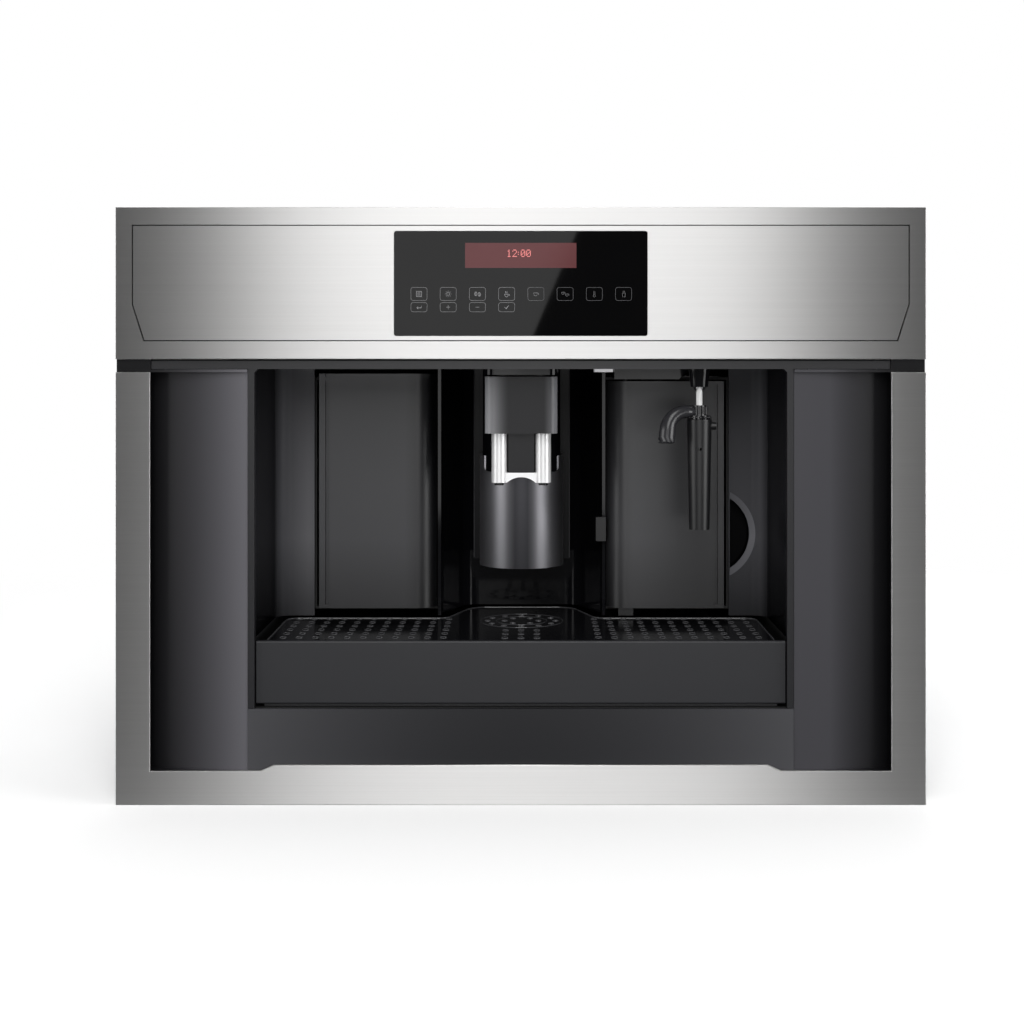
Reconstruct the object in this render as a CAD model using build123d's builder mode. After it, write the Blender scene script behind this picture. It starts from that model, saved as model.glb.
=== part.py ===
from build123d import *
import math
import os

# A compact built-in bean-to-cup coffee machine, in millimetres.
# +X is to the right seen from the front, the front faces -Y and +Z is up.
# The origin is the bottom centre of the whole machine. Depths are measured
# back from the steel front: depth 0 is the front plane, +Y is deeper.

# ---- overall sizes and the niche that the machine is built into ----
overall_width = 595.0
overall_height = 438.8
overall_depth = 412.0
front_projection = 22.0      # the front stands this far out of the cabinet
cabinet_lap = 17.5           # of the front over the cabinet, on each side
casing_lap = 31.5            # and over the casing
rear_room = 108.0            # behind the compartments, for boiler and pump
casing_bottom = 12.0
casing_top_step = 14.8       # the casing ends this far below the front's top
casing_sheet = 1.2
carrier_sheet = 2.0          # the steel plate that carries the front

# ---- clearances ----
running_gap = 0.3            # between pieces that move past each other
seam = 0.4                   # half of a visible joint line
shaft_gap = 0.05             # radial, on pins and shafts
ball_gap = 0.15              # round the steam wand's ball

# ---- steel front ----
steel_skin = 2.0
stile_width = 25.5
edge_round = 0.5             # of the steel front's visible edges
fascia_height = 111.6
fascia_gap = 9.5             # dark gap under the fascia
fascia_lip = 10.0            # depth of the fascia's folded bottom edge
rail_height = 25.0
rail_rise = 4.3              # the bottom rail is higher in its middle
rail_rise_half = 181.6
rail_slope = 9.5
plate_margin_side = 12.5     # round the brushed plate, to its groove
plate_margin_top = 13.3
plate_margin_bottom = 13.6
plate_chamfer_x = 8.5
plate_chamfer_z = 26.8
glass_width = 185.7
glass_height = 76.6
glass_rise = 17.3            # above the fascia's bottom edge
glass_thickness = 4.0
glass_recess = 0.2
glass_radius = 1.5
window_width = 81.7
window_height = 18.4
window_drop = 8.5            # below the glass's top edge
board_thickness = 1.6
board_margin = 4.0
connector_place = 50.0
connector_half = 9.0
connector_depth = 5.0
connector_rise = 8.0
connector_height = 6.0
control_depth = 48.0
control_wall = 2.5
control_drop = 3.2           # under the fascia

# ---- cup bay ----
bay_half = 197.0
bay_wall_sheet = 2.5
bay_front_depth = 10.3
bay_face_depth = 114.0
bay_face_width = 30.0         # of the wall's back face, with its rounded corner
bay_fillet = 12.0
ceiling_rise = 2.3           # of the bay's ceiling over the side stiles' tops
ceiling_sheet = 2.5
trim_depth = 4.0
trim_thickness = 6.0
trim_width = 4.7
trim_chamfer = 2.5
trim_end_depth = 9.0         # of the lip's two ends, over the stiles
lip_gap = 1.2                # between the lip and the fascia over it
panel_start_depth = 5.0      # the side panels start here, beside the trim,
panel_end_depth = 18.2       # and curve back to here, behind the stiles
panel_hidden = 13.0          # their outer edge's reach behind the stiles
panel_wall = 2.5
panel_floor = 2.0
lower_fascia_depth = 4.0
lower_fascia_sheet = 3.0
lower_fascia_tuck = 3.0      # behind the bottom rail
tray_bottom = 72.6
tray_front_height = 46.4
tray_gap = 2.9
tray_top_gap = 2.0           # between the grid and the walls over it
tray_edge_round = 1.2
wall_gap = 0.5               # between a moulded wall and what stands beside it
face_gap = 1.5               # behind the bay's back face

# ---- drip tray, grid and grounds box ----
tray_side_gap = 1.6
tray_front_depth = 8.0
tray_front_sheet = 4.0
pan_side_gap = 7.0
pan_wall = 2.0
pan_side_depth = 113.6       # the pan's back edge at the sides
pan_centre_depth = 171.0     # and in the middle, under the spout
pan_bell_wide = 62.0
pan_bell_narrow = 44.0
pan_bell_radius = 20.0       # of the bell's back corners
pan_foot_radius = 8.0        # of the bell's front corners
pan_corner_radius = 12.0     # of the tray's two side corners at the back
grid_thickness = 3.0
grid_inset = 0.6             # inside the pan's outline
slot_pitch_x = 12.0
slot_pitch_y = 17.0
slot_rows = 6
slot_length = 6.4
slot_width = 4.1
slot_shift = 3.0             # of the slots' middle, towards the back
slot_edge = 12.0             # from the grid's side to the outer slots
slot_clear = 22.0            # between the ring of holes and the inner slots
front_slots = 3
front_slots_depth = 26.0
ring_radius = 27.0
ring_hole_radius = 2.0
ring_holes = 12
ring_forward = 8.0           # of the ring's middle, from the drum's axis
box_left = 72.0
box_width = 82.0
box_wall = 2.0
box_gap = 8.0                # behind the tray's back edge
box_back_gap = 16.4          # from the grounds box to the housing's back
box_corner = 3.0
box_rim_drop = 2.0
rear_tray_height = 18.0
condensate_margin = 3.0
housing_floor = 2.5
housing_top_gap = 7.0
compartment_wall = 2.0
hinge_room = 8.0             # where the door's hinge side turns in
column_overlap = 1.0         # of the column's foot over its compartment's floor
puck_margin = 14.0
puck_front = 45.0
puck_back = 60.0

# ---- water tank column and service door ----
column_inner = 68.0
column_side_gap = 5.5        # to the wall's back face
column_strip = 8.0          # beside the flat front, with the groove
column_depth = 100.0
column_radius = 16.0
column_wall = 3.0
column_groove = 3.2
column_groove_depth = 4.0
column_return = 12.0
column_foot_gap = 10.0       # over the drip grid
door_top_gap = 10.0
tank_top_gap = 4.0
tank_wall = 2.2
tank_back_gap = 6.0          # in its compartment
tank_spigot_radius = 4.0
tank_side_gap = 4.0
tank_hinge_side = 3.0
tank_outlet_rise = 14.0
outlet_length = 12.0
outlet_wall = 3.0
spigot_reach = 14.0
spigot_tail = 8.0
spigot_wall = 1.6
link_start = 30.0            # the two links from the column to the tank
link_width = 20.0
link_height = 20.0
link_lap = 5.0
link_rise = 30.0
link_drop = 40.0
door_pin_radius = 2.0
door_knuckle_radius = 5.0
door_pin_reach = 6.0
door_foot_gap = 1.0
hinge_foot_half = 6.0
hinge_block_width = 8.0
hinge_block_height = 19.2
hinge_block_depth = 9.0
hinge_block_rise = 52.8      # over the door's foot
hinge_block_gap = 0.4
finger_height = 69.0
finger_reach = 21.8
finger_depth = 15.0
finger_bevel = 5.0           # the rim's slope, inwards and deep
finger_bevel_depth = 3.0
finger_rise = 68.0           # its middle, over the drip grid

# ---- niche, spout drum and spout carriage ----
niche_depth = 173.5
niche_narrow = 46.5
niche_start = 115.0
niche_straight = 128.0
niche_radius = 15.0
niche_lead = 10.0
drum_radius = 33.5
drum_depth = 108.0           # the drum's axis
drum_wall = 2.0
drum_bottom = 163.6
drum_height = 87.4
drum_clear = 1.0             # between the drum and the spout block
column_lift = 4.0            # of the column's foot in the drum
groove_drop = 14.0           # of the groove's foot under the drum's top
notch_half = 29.5
notch_depth = 12.3
notch_radius = 4.0
notch_back = 12.0
column_plate_half = 39.7
column_plate_depth = 142.0
column_plate_sheet = 8.0
column_web_half = 20.0
block_half = 27.8
block_height = 43.4
block_front_depth = 45.0
block_corner = 7.0
block_top_gap = 6.0          # under the bay's ceiling
block_back_gap = 20.0        # between its back and the drum's axis
collar_height = 4.5
collar_reach = 1.0            # round the spout block
spout_pitch = 34.0
spout_depth = 62.0
spout_radius = 6.0
spout_length = 38.4
bridge_height = 7.6
bridge_arch = 3.4
bridge_depth = 6.0
nozzle_radius = 3.6
nozzle_length = 2.0
nozzle_wall = 1.2
nozzle_floor = 0.5
tongue_half = 9.5
tongue_height = 24.0
tongue_depth = 8.0
tongue_root = 3.0
web_panel_half = 10.0
web_panel_depth = 6.0
lamp_left = 11.0             # the lamp's edges, from the column and the block
lamp_right = 3.0
lamp_front = 17.0
lamp_back = 39.0
lamp_thickness = 2.5
fixture_depth = 38.0         # the slanted fixture beside the lamp
fixture_lead = 4.0
fixture_clear = 2.0          # over the door
fixture_slope_low = 12.0
fixture_slope_high = 4.0

# ---- steam wand ----
wand_x = 134.0
wand_depth = 28.0
ball_radius = 4.6
ball_drop = 13.0             # of the ball's centre under the ceiling
socket_radius = 6.5
socket_flare = 1.5
socket_lip = 0.5
pipe_radius = 2.4
tilt_pin_radius = 0.9
tilt_pin_half = 4.0
nut_radius = 5.4
nut_height = 7.6
nut_ribs = 12
nut_rib_radius = 0.8
pipe_drop = 14.3
collar_ring_radius = 8.0
collar_ring_height = 3.0
ring_beads = 16
ring_bead_radius = 1.1
ring_seam = 0.2
steam_bore = 1.0
steam_bore_length = 30.0
sleeve_top_radius = 9.3
sleeve_bottom_radius = 7.7
sleeve_length = 82.5
sleeve_bore = 5.8
sleeve_knob_radius = 2.8
sleeve_knob_reach = 3.4
sleeve_knob_drop = 5.0
sleeve_cap = 6.0
air_hole_radius = 1.1
air_hole_drop = 22.0
nozzle_pipe_length = 46.0
grip_tube_radius = 5.7
grip_reach = 24.3
grip_drop = 23.4
grip_bend = 14.0
grip_rise = 2.8              # of its middle over the beaded ring
grip_forward = 6.0
grip_root = 2.0              # inside the nut's circle
grip_seam = 0.1
grip_wall = 1.6
grip_mouth_depth = 8.0

# ---- rails ----
rail_back_gap = 32.0         # from their back ends to the casing's
rail_start_depth = 30.0
rail_centre_z = 70.0
rail_section = 45.0
rail_web = 1.5
rail_flange = 12.4
rail_hole_radius = 2.25
rail_hole_spacing = 256.0

# ---- inside the casing ----
chassis_sheet = 3.0
chassis_rise = 20.0          # over the compartments
chassis_windows = ((0.0, 100.0), (-190.0, 250.0), (190.0, 60.0))
chassis_window_width = 70.0
chassis_window_height = 60.0
shelf_margin = 8.0
grinder_radius = 34.0
grinder_back_gap = 20.0      # to the chassis wall behind it
grinder_height = 49.0
grinder_wall = 8.0
motor_radius = 27.0
motor_height = 84.0
burr_radius = 19.0
burr_height = 24.0
burr_shaft_radius = 4.0
burr_shaft_length = 9.0
burr_top_radius = 10.45
burr_rise = 12.0
burr_flutes = 8
burr_flute_radius = 3.0
chute_reach = 8.0
chute_half = 9.0
chute_height = 16.0
hopper_length = 146.0
hopper_width = 116.0
hopper_height = 72.0
hopper_throat = 50.0
hopper_wall = 2.5
hopper_flange = 7.0
hopper_flange_thickness = 1.2
hopper_corner = 12.0
flange_corner = 14.0
throat_clear = 0.5
lid_thickness = 2.5
lid_margin = 5.0
lid_corner = 10.0
lid_notch = 10.0             # at each end of the bean lid's knuckle
lid_notch_depth = 5.0
lid_hinge_reach = 6.0
lid_pin_reach = 5.0
ear_sheet = 3.0
ear_half = 3.0
knuckle_rise = 1.0
knuckle_radius = 3.0
hinge_pin_radius = 1.5
funnel_depth = 190.0
funnel_radius = 24.0
funnel_neck = 15.0
funnel_wall = 2.0
funnel_flange = 3.0
funnel_neck_rise = 40.0
funnel_neck_drop = 3.0
funnel_hinge_reach = 5.0
funnel_lid_half = 12.0
knob_x = -115.0
knob_depth = 235.0
knob_radius = 17.0
knob_height = 11.0
knob_shaft_radius = 3.0
knob_shaft_length = 12.0
knob_skirt = 4.0
knob_flutes = 18
knob_flute_radius = 2.0
knob_mark_half = 1.2
knob_mark_start = 4.0
knob_mark_length = 10.0
brew_depth = 190.0
brew_rod_room = 12.0         # from the bore to the rods' middle
brew_room_inner = 6.0        # beside the brew unit's feet
brew_room_outer = 7.5
brew_wall = 4.0
brew_chamber_height = 50.0
brew_rod_radius = 4.0
brew_seal_gap = 15.0         # between the open chamber and the fixed piston
brew_top_gap = 12.0
brew_beam = 12.0
brew_foot_half = 7.0
brew_foot_front = 55.0
brew_foot_back = 70.0
brew_foot_height = 5.0
brew_back_gap = 4.0
brew_hole_radius = 10.0
brew_hole_reach = 18.0
piston_height = 30.0
chamber_rise = 27.0
chamber_floor = 10.0
carriage_half = 6.5
carriage_height = 16.0
boiler_width = 100.0
boiler_height = 70.0
boiler_thickness = 34.0
boiler_rise = 190.0
boiler_ribs = 6
boiler_rib_inset = 10.0
boiler_rib_half = 2.0
boiler_rib_depth = 5.0
boiler_rib_end = 4.0
pump_radius = 22.0
pump_length = 84.0
pump_back_gap = 35.0
pump_rise = 8.0
pump_stub = 12.0
pump_stub_radius = 7.3
coil_half = 22.0
coil_half_height = 24.0
pump_foot_x = 16.0
pump_foot_radius = 6.0
hose_radius = 3.0
hose_bend = 16.0
hose_bend_small = 14.0
hose_reach = 30.0
hose_drop = 40.0
hose_inset = 14.0
power_width = 130.0
power_height = 140.0
board_left = 100.0
board_bottom = 160.0
standoff_height = 6.0
standoff_inset = 8.0
standoff_radius = 3.0
# each block on the board: left, low, width, height, depth
board_parts = ((12.0, 14.0, 36.0, 38.0, 26.0), (62.0, 20.0, 26.0, 22.0, 16.0))
relays = 4
relay_start = 14.0
relay_pitch = 28.0
relay_width = 20.0
relay_height = 22.0
relay_depth = 15.0
relay_drop = 34.0
capacitors = 3
can_start = 70.0
can_pitch = 18.0
can_length = 20.0
can_rise = 72.0
can_radius = 7.0
inlet_side = 66.0            # from the casing's side
inlet_z = 70.0
inlet_width = 27.5
inlet_height = 20.0
inlet_recess = 16.0
inlet_flange = 5.0
inlet_lap = 2.0              # of the module's rim over the panel
socket_wall = 1.0
socket_floor = 3.0
socket_chamfer = 4.0
socket_pins = ((-7.0, -2.0), (0.0, 2.0), (7.0, -2.0))
socket_pin_half = 1.0
socket_pin_recess = 3.0
rocker_width = 13.0
rocker_height = 19.0
rocker_depth = 10.0
rocker_gap = 1.3             # over and under the rocker, for its tilt
rocker_rise = 30.0           # over the inlet
rocker_room = 4.0
rocker_sink = 2.0
rocker_dip = 1.5
rocker_taper = 1.0
rocker_pin_radius = 1.5
rocker_pin_reach = 1.5       # into each side of the module
vent_length = 60.0
vent_width = 5.0
vent_pitch = 12.0
back_vent_left = 120.0
back_vent_right = 60.0
back_vent_z = 250.0
back_vent_rows = 10
top_vent_x = 170.0
top_vent_back_gap = 82.0     # from the back to their middle
top_vent_rows = 7
screw_radius = 2.0
screw_head_radius = 4.0
screw_head_height = 2.2
screw_inset = 14.0
screw_end_inset = 20.0
screw_reach = 8.0
nut_sheet = 2.0

# ---- places worked out from the sizes above ----
front_y = -overall_depth / 2
half_width = overall_width / 2
niche_half = half_width - cabinet_lap
half_casing = half_width - casing_lap
plate_half = half_width - plate_margin_side
casing_inner = half_casing - casing_sheet
casing_top = overall_height - casing_top_step
fascia_bottom = overall_height - fascia_height
frame_top = fascia_bottom - fascia_gap
stile_inner = half_width - stile_width
ceiling_z = frame_top + ceiling_rise
bay_face_inner = bay_half - bay_face_width
column_outer = bay_face_inner - column_side_gap
column_flat_end = column_outer - column_strip
tray_front_half = bay_half - tray_side_gap
pan_half = bay_half - pan_side_gap
inlet_x = half_casing - inlet_side
carrier_front = front_projection - carrier_sheet
grid_top = tray_bottom + tray_front_height
tray_clear = grid_top + tray_top_gap
column_foot = grid_top + column_foot_gap
grip_inner = bay_half + trim_width - seam
panel_edge = stile_inner + panel_hidden
strip_low = frame_top + panel_floor + running_gap
strip_high = fascia_bottom - lip_gap
housing_top = ceiling_z - housing_top_gap
compartment_floor = column_foot - column_overlap
compartment_bottom = compartment_floor - compartment_wall
niche_half_width = column_inner - bay_wall_sheet - wall_gap
compartment_inner = niche_half_width + bay_wall_sheet + wall_gap
compartment_outer = bay_face_inner + wall_gap
brew_left = compartment_inner + compartment_wall + brew_room_inner + brew_foot_half
brew_right = compartment_outer - compartment_wall - brew_room_outer - brew_foot_half
funnel_x = (brew_left + brew_right) / 2
brew_bore = (brew_right - brew_left) / 2 - brew_rod_room
column_radius_inner = drum_radius - drum_wall - wall_gap
housing_back = overall_depth - rear_room
chassis_front = housing_back
grinder_depth = chassis_front - grinder_back_gap - grinder_radius
pump_depth = overall_depth - pump_back_gap - pump_radius
rail_length = overall_depth - rail_back_gap - rail_start_depth
chassis_back = chassis_front + chassis_sheet
pivot_x = column_inner + column_radius
pivot_depth = column_depth + column_radius
block_top = ceiling_z - block_top_gap
block_bottom = block_top - block_height
pipe_top = ceiling_z - ball_drop
nut_top = pipe_top - pipe_drop
ring_top = nut_top - nut_height
sleeve_top = ring_top - collar_ring_height
lower_fascia_top = tray_bottom - tray_gap


def y_of(depth):
    """Y of a place that lies this far behind the steel front."""
    return front_y + depth


def facing(depth):
    """A sketch plane that faces the user, with X to the right and Z up."""
    return Plane(origin=(0, y_of(depth), 0), x_dir=(1, 0, 0), z_dir=(0, -1, 0))


def block(x0, x1, depth0, depth1, z0, z1, mode=Mode.ADD):
    """A box between two X, two depths and two heights."""
    with Locations(((x0 + x1) / 2, y_of((depth0 + depth1) / 2), (z0 + z1) / 2)):
        Box(abs(x1 - x0), abs(depth1 - depth0), abs(z1 - z0), mode=mode)


def upright(x, depth, z0, z1, radius, top_radius=None, mode=Mode.ADD):
    """A vertical cylinder or cone between two heights."""
    with Locations((x, y_of(depth), (z0 + z1) / 2)):
        if top_radius is None:
            Cylinder(radius, z1 - z0, mode=mode)
        else:
            Cone(radius, top_radius, z1 - z0, mode=mode)


def lying(x, depth0, depth1, z, radius, mode=Mode.ADD):
    """A cylinder that runs from front to back."""
    with Locations(Location((x, y_of((depth0 + depth1) / 2), z), (90, 0, 0))):
        Cylinder(radius, abs(depth1 - depth0), mode=mode)


def crosswise(x0, x1, depth, z, radius, mode=Mode.ADD):
    """A cylinder that runs from left to right."""
    with Locations(Location(((x0 + x1) / 2, y_of(depth), z), (0, 90, 0))):
        Cylinder(radius, abs(x1 - x0), mode=mode)


def save(builder, label):
    """Name a finished piece and write it."""
    builder.part.label = label
    export_step(builder.part, f"parts/{label}.step")


os.makedirs("parts", exist_ok=True)

# ---- telescopic rails: two outer, two middle and two inner members ----
rail_step = rail_web + 0.4
middle_flange = rail_flange - rail_web - 2 * running_gap
inner_flange = middle_flange - 1.4
rail_bottom_to_top = rail_section / 2
middle_half = rail_bottom_to_top - rail_web - running_gap
inner_half = middle_half - rail_web - running_gap
rail_end_depth = rail_start_depth + rail_length


def rail_channel(web_x, flange_x, half_height, web_sheet):
    """A C-shaped member, from its web to the free edge of its flanges."""
    inward = math.copysign(1.0, flange_x - web_x)
    inner_face = web_x + inward * web_sheet
    low = rail_centre_z - half_height
    high = rail_centre_z + half_height
    block(min(web_x, flange_x), max(web_x, flange_x), rail_start_depth, rail_end_depth, low, high)
    block(
        min(inner_face, flange_x + inward),
        max(inner_face, flange_x + inward),
        rail_start_depth - 1,
        rail_end_depth + 1,
        low + web_sheet,
        high - web_sheet,
        mode=Mode.SUBTRACT,
    )


with BuildPart() as outer_rails:
    for side in (-1, 1):
        rail_channel(side * niche_half, side * (niche_half - rail_flange), rail_bottom_to_top, rail_web)
    hole_middle = y_of(rail_start_depth + rail_length / 2)
    for hole_y in (hole_middle - rail_hole_spacing / 2, hole_middle + rail_hole_spacing / 2):
        with Locations(Location((0, hole_y, rail_centre_z), (0, 90, 0))):
            Cylinder(rail_hole_radius, 2 * niche_half + 2, mode=Mode.SUBTRACT)
save(outer_rails, "outer_rails")

middle_web_x = niche_half - rail_step
with BuildPart() as middle_rails:
    for side in (-1, 1):
        rail_channel(side * middle_web_x, side * (middle_web_x - middle_flange), middle_half, rail_web)
save(middle_rails, "middle_rails")

with BuildPart() as inner_rails:
    for side in (-1, 1):
        rail_channel(side * half_casing, side * (half_casing + inner_flange), inner_half, rail_web)
save(inner_rails, "inner_rails")

# ---- casing: a folded floor with two sides, a back and a top ----
with BuildPart() as casing_shell:
    block(-half_casing, half_casing, carrier_front, overall_depth, casing_bottom, casing_top)
    block(
        -casing_inner,
        casing_inner,
        carrier_front - 1,
        overall_depth + 1,
        casing_bottom + casing_sheet,
        casing_top + 1,
        mode=Mode.SUBTRACT,
    )
save(casing_shell, "casing_shell")

back_front = overall_depth - casing_sheet
floor_top = casing_bottom + casing_sheet
ceiling_under = casing_top - casing_sheet
rocker_z = inlet_z + rocker_rise
module_half = inlet_width / 2 + inlet_flange
module_low = inlet_z - inlet_height / 2 - inlet_flange
module_high = rocker_z + rocker_height / 2 + inlet_flange
screw_places = [
    (side * (casing_inner - screw_inset), z)
    for side in (-1, 1)
    for z in (floor_top + screw_end_inset, (floor_top + ceiling_under) / 2, ceiling_under - screw_end_inset)
]

with BuildPart() as back_panel:
    block(-casing_inner, casing_inner, back_front, overall_depth, floor_top, ceiling_under)
    with BuildSketch(facing(overall_depth + 1)):
        with Locations((-back_vent_left, back_vent_z), (back_vent_right, back_vent_z)):
            with GridLocations(0, vent_pitch, 1, back_vent_rows):
                SlotOverall(vent_length, vent_width)
        with Locations((inlet_x, (module_low + module_high) / 2)):
            Rectangle(2 * module_half - 2 * inlet_lap, module_high - module_low - 2 * inlet_lap)
        with Locations(*screw_places):
            Circle(screw_radius + shaft_gap)
    extrude(amount=casing_sheet + 2, mode=Mode.SUBTRACT)
save(back_panel, "back_panel")

with BuildPart() as panel_screws:
    for screw_x, screw_z in screw_places:
        lying(screw_x, overall_depth - screw_head_height, back_front - screw_reach, screw_z, screw_radius)
        lying(screw_x, back_front - nut_sheet, back_front, screw_z, screw_head_radius)
save(panel_screws, "panel_screws")

lid_z = casing_top + hopper_flange_thickness + running_gap
knuckle_z = lid_z + lid_thickness / 2 + knuckle_rise
bean_hinge_depth = grinder_depth + hopper_width / 2 + hopper_flange + lid_hinge_reach
bean_lid_half = hopper_length / 2 + lid_margin
funnel_lid_radius = funnel_radius + lid_margin
funnel_hinge_depth = funnel_depth + funnel_lid_radius + funnel_hinge_reach


def lid_ears(x, half_length, depth):
    """Two ears on the top panel, each with a pin for a lid's knuckle."""
    for side in (-1, 1):
        near = x + side * (half_length + running_gap)
        far = near + side * ear_sheet
        ear_top = knuckle_z + knuckle_radius
        block(min(near, far), max(near, far), depth - ear_half, depth + ear_half, casing_top, ear_top)
        pin_end = near - side * lid_pin_reach
        crosswise(min(far, pin_end), max(far, pin_end), depth, knuckle_z, hinge_pin_radius)


with BuildPart() as top_panel:
    block(
        -casing_inner,
        casing_inner,
        front_projection,
        overall_depth - casing_sheet,
        ceiling_under,
        casing_top,
    )
    lid_ears(0, bean_lid_half - lid_notch, bean_hinge_depth)
    lid_ears(funnel_x, funnel_lid_half, funnel_hinge_depth)
    block(
        -hopper_length / 2 - throat_clear,
        hopper_length / 2 + throat_clear,
        grinder_depth - hopper_width / 2 - throat_clear,
        grinder_depth + hopper_width / 2 + throat_clear,
        ceiling_under - 1,
        casing_top + 1,
        mode=Mode.SUBTRACT,
    )
    upright(
        funnel_x,
        funnel_depth,
        ceiling_under - 1,
        casing_top + 1,
        funnel_radius + throat_clear,
        mode=Mode.SUBTRACT,
    )
    upright(
        knob_x,
        knob_depth,
        ceiling_under - 1,
        casing_top + 1,
        knob_shaft_radius + shaft_gap,
        mode=Mode.SUBTRACT,
    )
    with BuildSketch(Plane.XY.offset(ceiling_under - 1)):
        top_vent_y = y_of(overall_depth - top_vent_back_gap)
        with Locations((-top_vent_x, top_vent_y), (top_vent_x, top_vent_y)):
            with GridLocations(0, vent_pitch, 1, top_vent_rows):
                SlotOverall(vent_length, vent_width)
    extrude(amount=casing_sheet + 2, mode=Mode.SUBTRACT)
save(top_panel, "top_panel")

# ---- steel carrier plate that closes the front against the cabinet ----
with BuildPart() as mounting_frame:
    block(-half_width, half_width, carrier_front, front_projection, 0, overall_height)
    block(
        -half_casing - running_gap,
        half_casing + running_gap,
        carrier_front - 1,
        front_projection + 1,
        casing_bottom - running_gap,
        casing_top + running_gap,
        mode=Mode.SUBTRACT,
    )
save(mounting_frame, "mounting_frame")

# ---- brushed steel front: a U-shaped frame under the fascia ----
rail_top = rail_height + rail_rise
with BuildPart() as front_frame:
    with BuildSketch(facing(0)):
        with BuildLine():
            Polyline(
                (-half_width, 0),
                (half_width, 0),
                (half_width, frame_top),
                (stile_inner, frame_top),
                (stile_inner, rail_height),
                (rail_rise_half + rail_slope, rail_height),
                (rail_rise_half, rail_top),
                (-rail_rise_half, rail_top),
                (-rail_rise_half - rail_slope, rail_height),
                (-stile_inner, rail_height),
                (-stile_inner, frame_top),
                (-half_width, frame_top),
                close=True,
            )
        make_face()
    extrude(amount=-steel_skin)
    for side in (-1, 1):
        edge = side * half_width
        inner = side * (half_width - steel_skin)
        block(min(edge, inner), max(edge, inner), 0, carrier_front, 0, frame_top)
    block(-half_width, half_width, 0, carrier_front, 0, steel_skin)
    fillet(front_frame.faces().sort_by(Axis.Y)[0].edges(), edge_round)
save(front_frame, "front_frame")

plate_bottom = fascia_bottom + plate_margin_bottom
plate_top = overall_height - plate_margin_top


def fascia_outline(grow):
    """The plate inside the groove: a rectangle with two lower chamfers."""
    half = plate_half + grow
    Polygon(
        (-half, plate_top + grow),
        (-half, plate_bottom + plate_chamfer_z),
        (-half + plate_chamfer_x, plate_bottom - grow),
        (half - plate_chamfer_x, plate_bottom - grow),
        (half, plate_bottom + plate_chamfer_z),
        (half, plate_top + grow),
        align=None,
    )


with BuildPart() as fascia_surround:
    block(-half_width, half_width, 0, carrier_front, fascia_bottom, overall_height)
    block(
        -half_width + steel_skin,
        half_width - steel_skin,
        steel_skin,
        carrier_front + 1,
        fascia_bottom - 1,
        overall_height - steel_skin,
        mode=Mode.SUBTRACT,
    )
    block(-half_width, half_width, 0, steel_skin + fascia_lip, fascia_bottom, fascia_bottom + steel_skin)
    with BuildSketch(facing(-1)):
        fascia_outline(seam)
    extrude(amount=-(steel_skin + 2), mode=Mode.SUBTRACT)
    fillet(fascia_surround.faces().sort_by(Axis.Y)[0].outer_wire().edges(), edge_round)
save(fascia_surround, "fascia_surround")

glass_bottom = fascia_bottom + glass_rise
glass_z = glass_bottom + glass_height / 2
with BuildPart() as fascia_plate:
    with BuildSketch(facing(0)):
        fascia_outline(-seam)
        with Locations((0, glass_z)):
            RectangleRounded(
                glass_width + 2 * running_gap,
                glass_height + 2 * running_gap,
                glass_radius + running_gap,
                mode=Mode.SUBTRACT,
            )
    extrude(amount=-steel_skin)
save(fascia_plate, "fascia_plate")

# ---- touch glass, its display window and the board behind ----
glass_back = glass_recess + glass_thickness
window_z = glass_bottom + glass_height - window_drop - window_height / 2
with BuildPart() as control_glass:
    with BuildSketch(facing(glass_recess)):
        with Locations((0, glass_z)):
            RectangleRounded(glass_width, glass_height, glass_radius)
        with Locations((0, window_z)):
            Rectangle(window_width, window_height, mode=Mode.SUBTRACT)
    extrude(amount=-glass_thickness)
save(control_glass, "control_glass")

with BuildPart() as display_window:
    with BuildSketch(facing(glass_recess)):
        with Locations((0, window_z)):
            Rectangle(window_width, window_height)
    extrude(amount=-glass_thickness)
save(display_window, "display_window")

with BuildPart() as touch_board:
    block(
        -glass_width / 2 + board_margin,
        glass_width / 2 - board_margin,
        glass_back,
        glass_back + board_thickness,
        glass_bottom + board_margin,
        glass_bottom + glass_height - board_margin,
    )
    for connector_x in (-connector_place, connector_place):
        block(
            connector_x - connector_half,
            connector_x + connector_half,
            glass_back + board_thickness,
            glass_back + board_thickness + connector_depth,
            glass_bottom + connector_rise,
            glass_bottom + connector_rise + connector_height,
        )
save(touch_board, "touch_board")

control_front = steel_skin + fascia_lip + running_gap
control_back = control_front + control_depth
control_bottom = fascia_bottom - control_drop
with BuildPart() as control_housing:
    block(
        -casing_inner + running_gap,
        casing_inner - running_gap,
        control_front,
        control_back,
        control_bottom,
        ceiling_under - running_gap,
    )
    block(
        -casing_inner + running_gap + control_wall,
        casing_inner - running_gap - control_wall,
        control_front - 1,
        control_back - control_wall,
        control_bottom + control_wall,
        ceiling_under - running_gap - control_wall,
        mode=Mode.SUBTRACT,
    )
save(control_housing, "control_housing")

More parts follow.
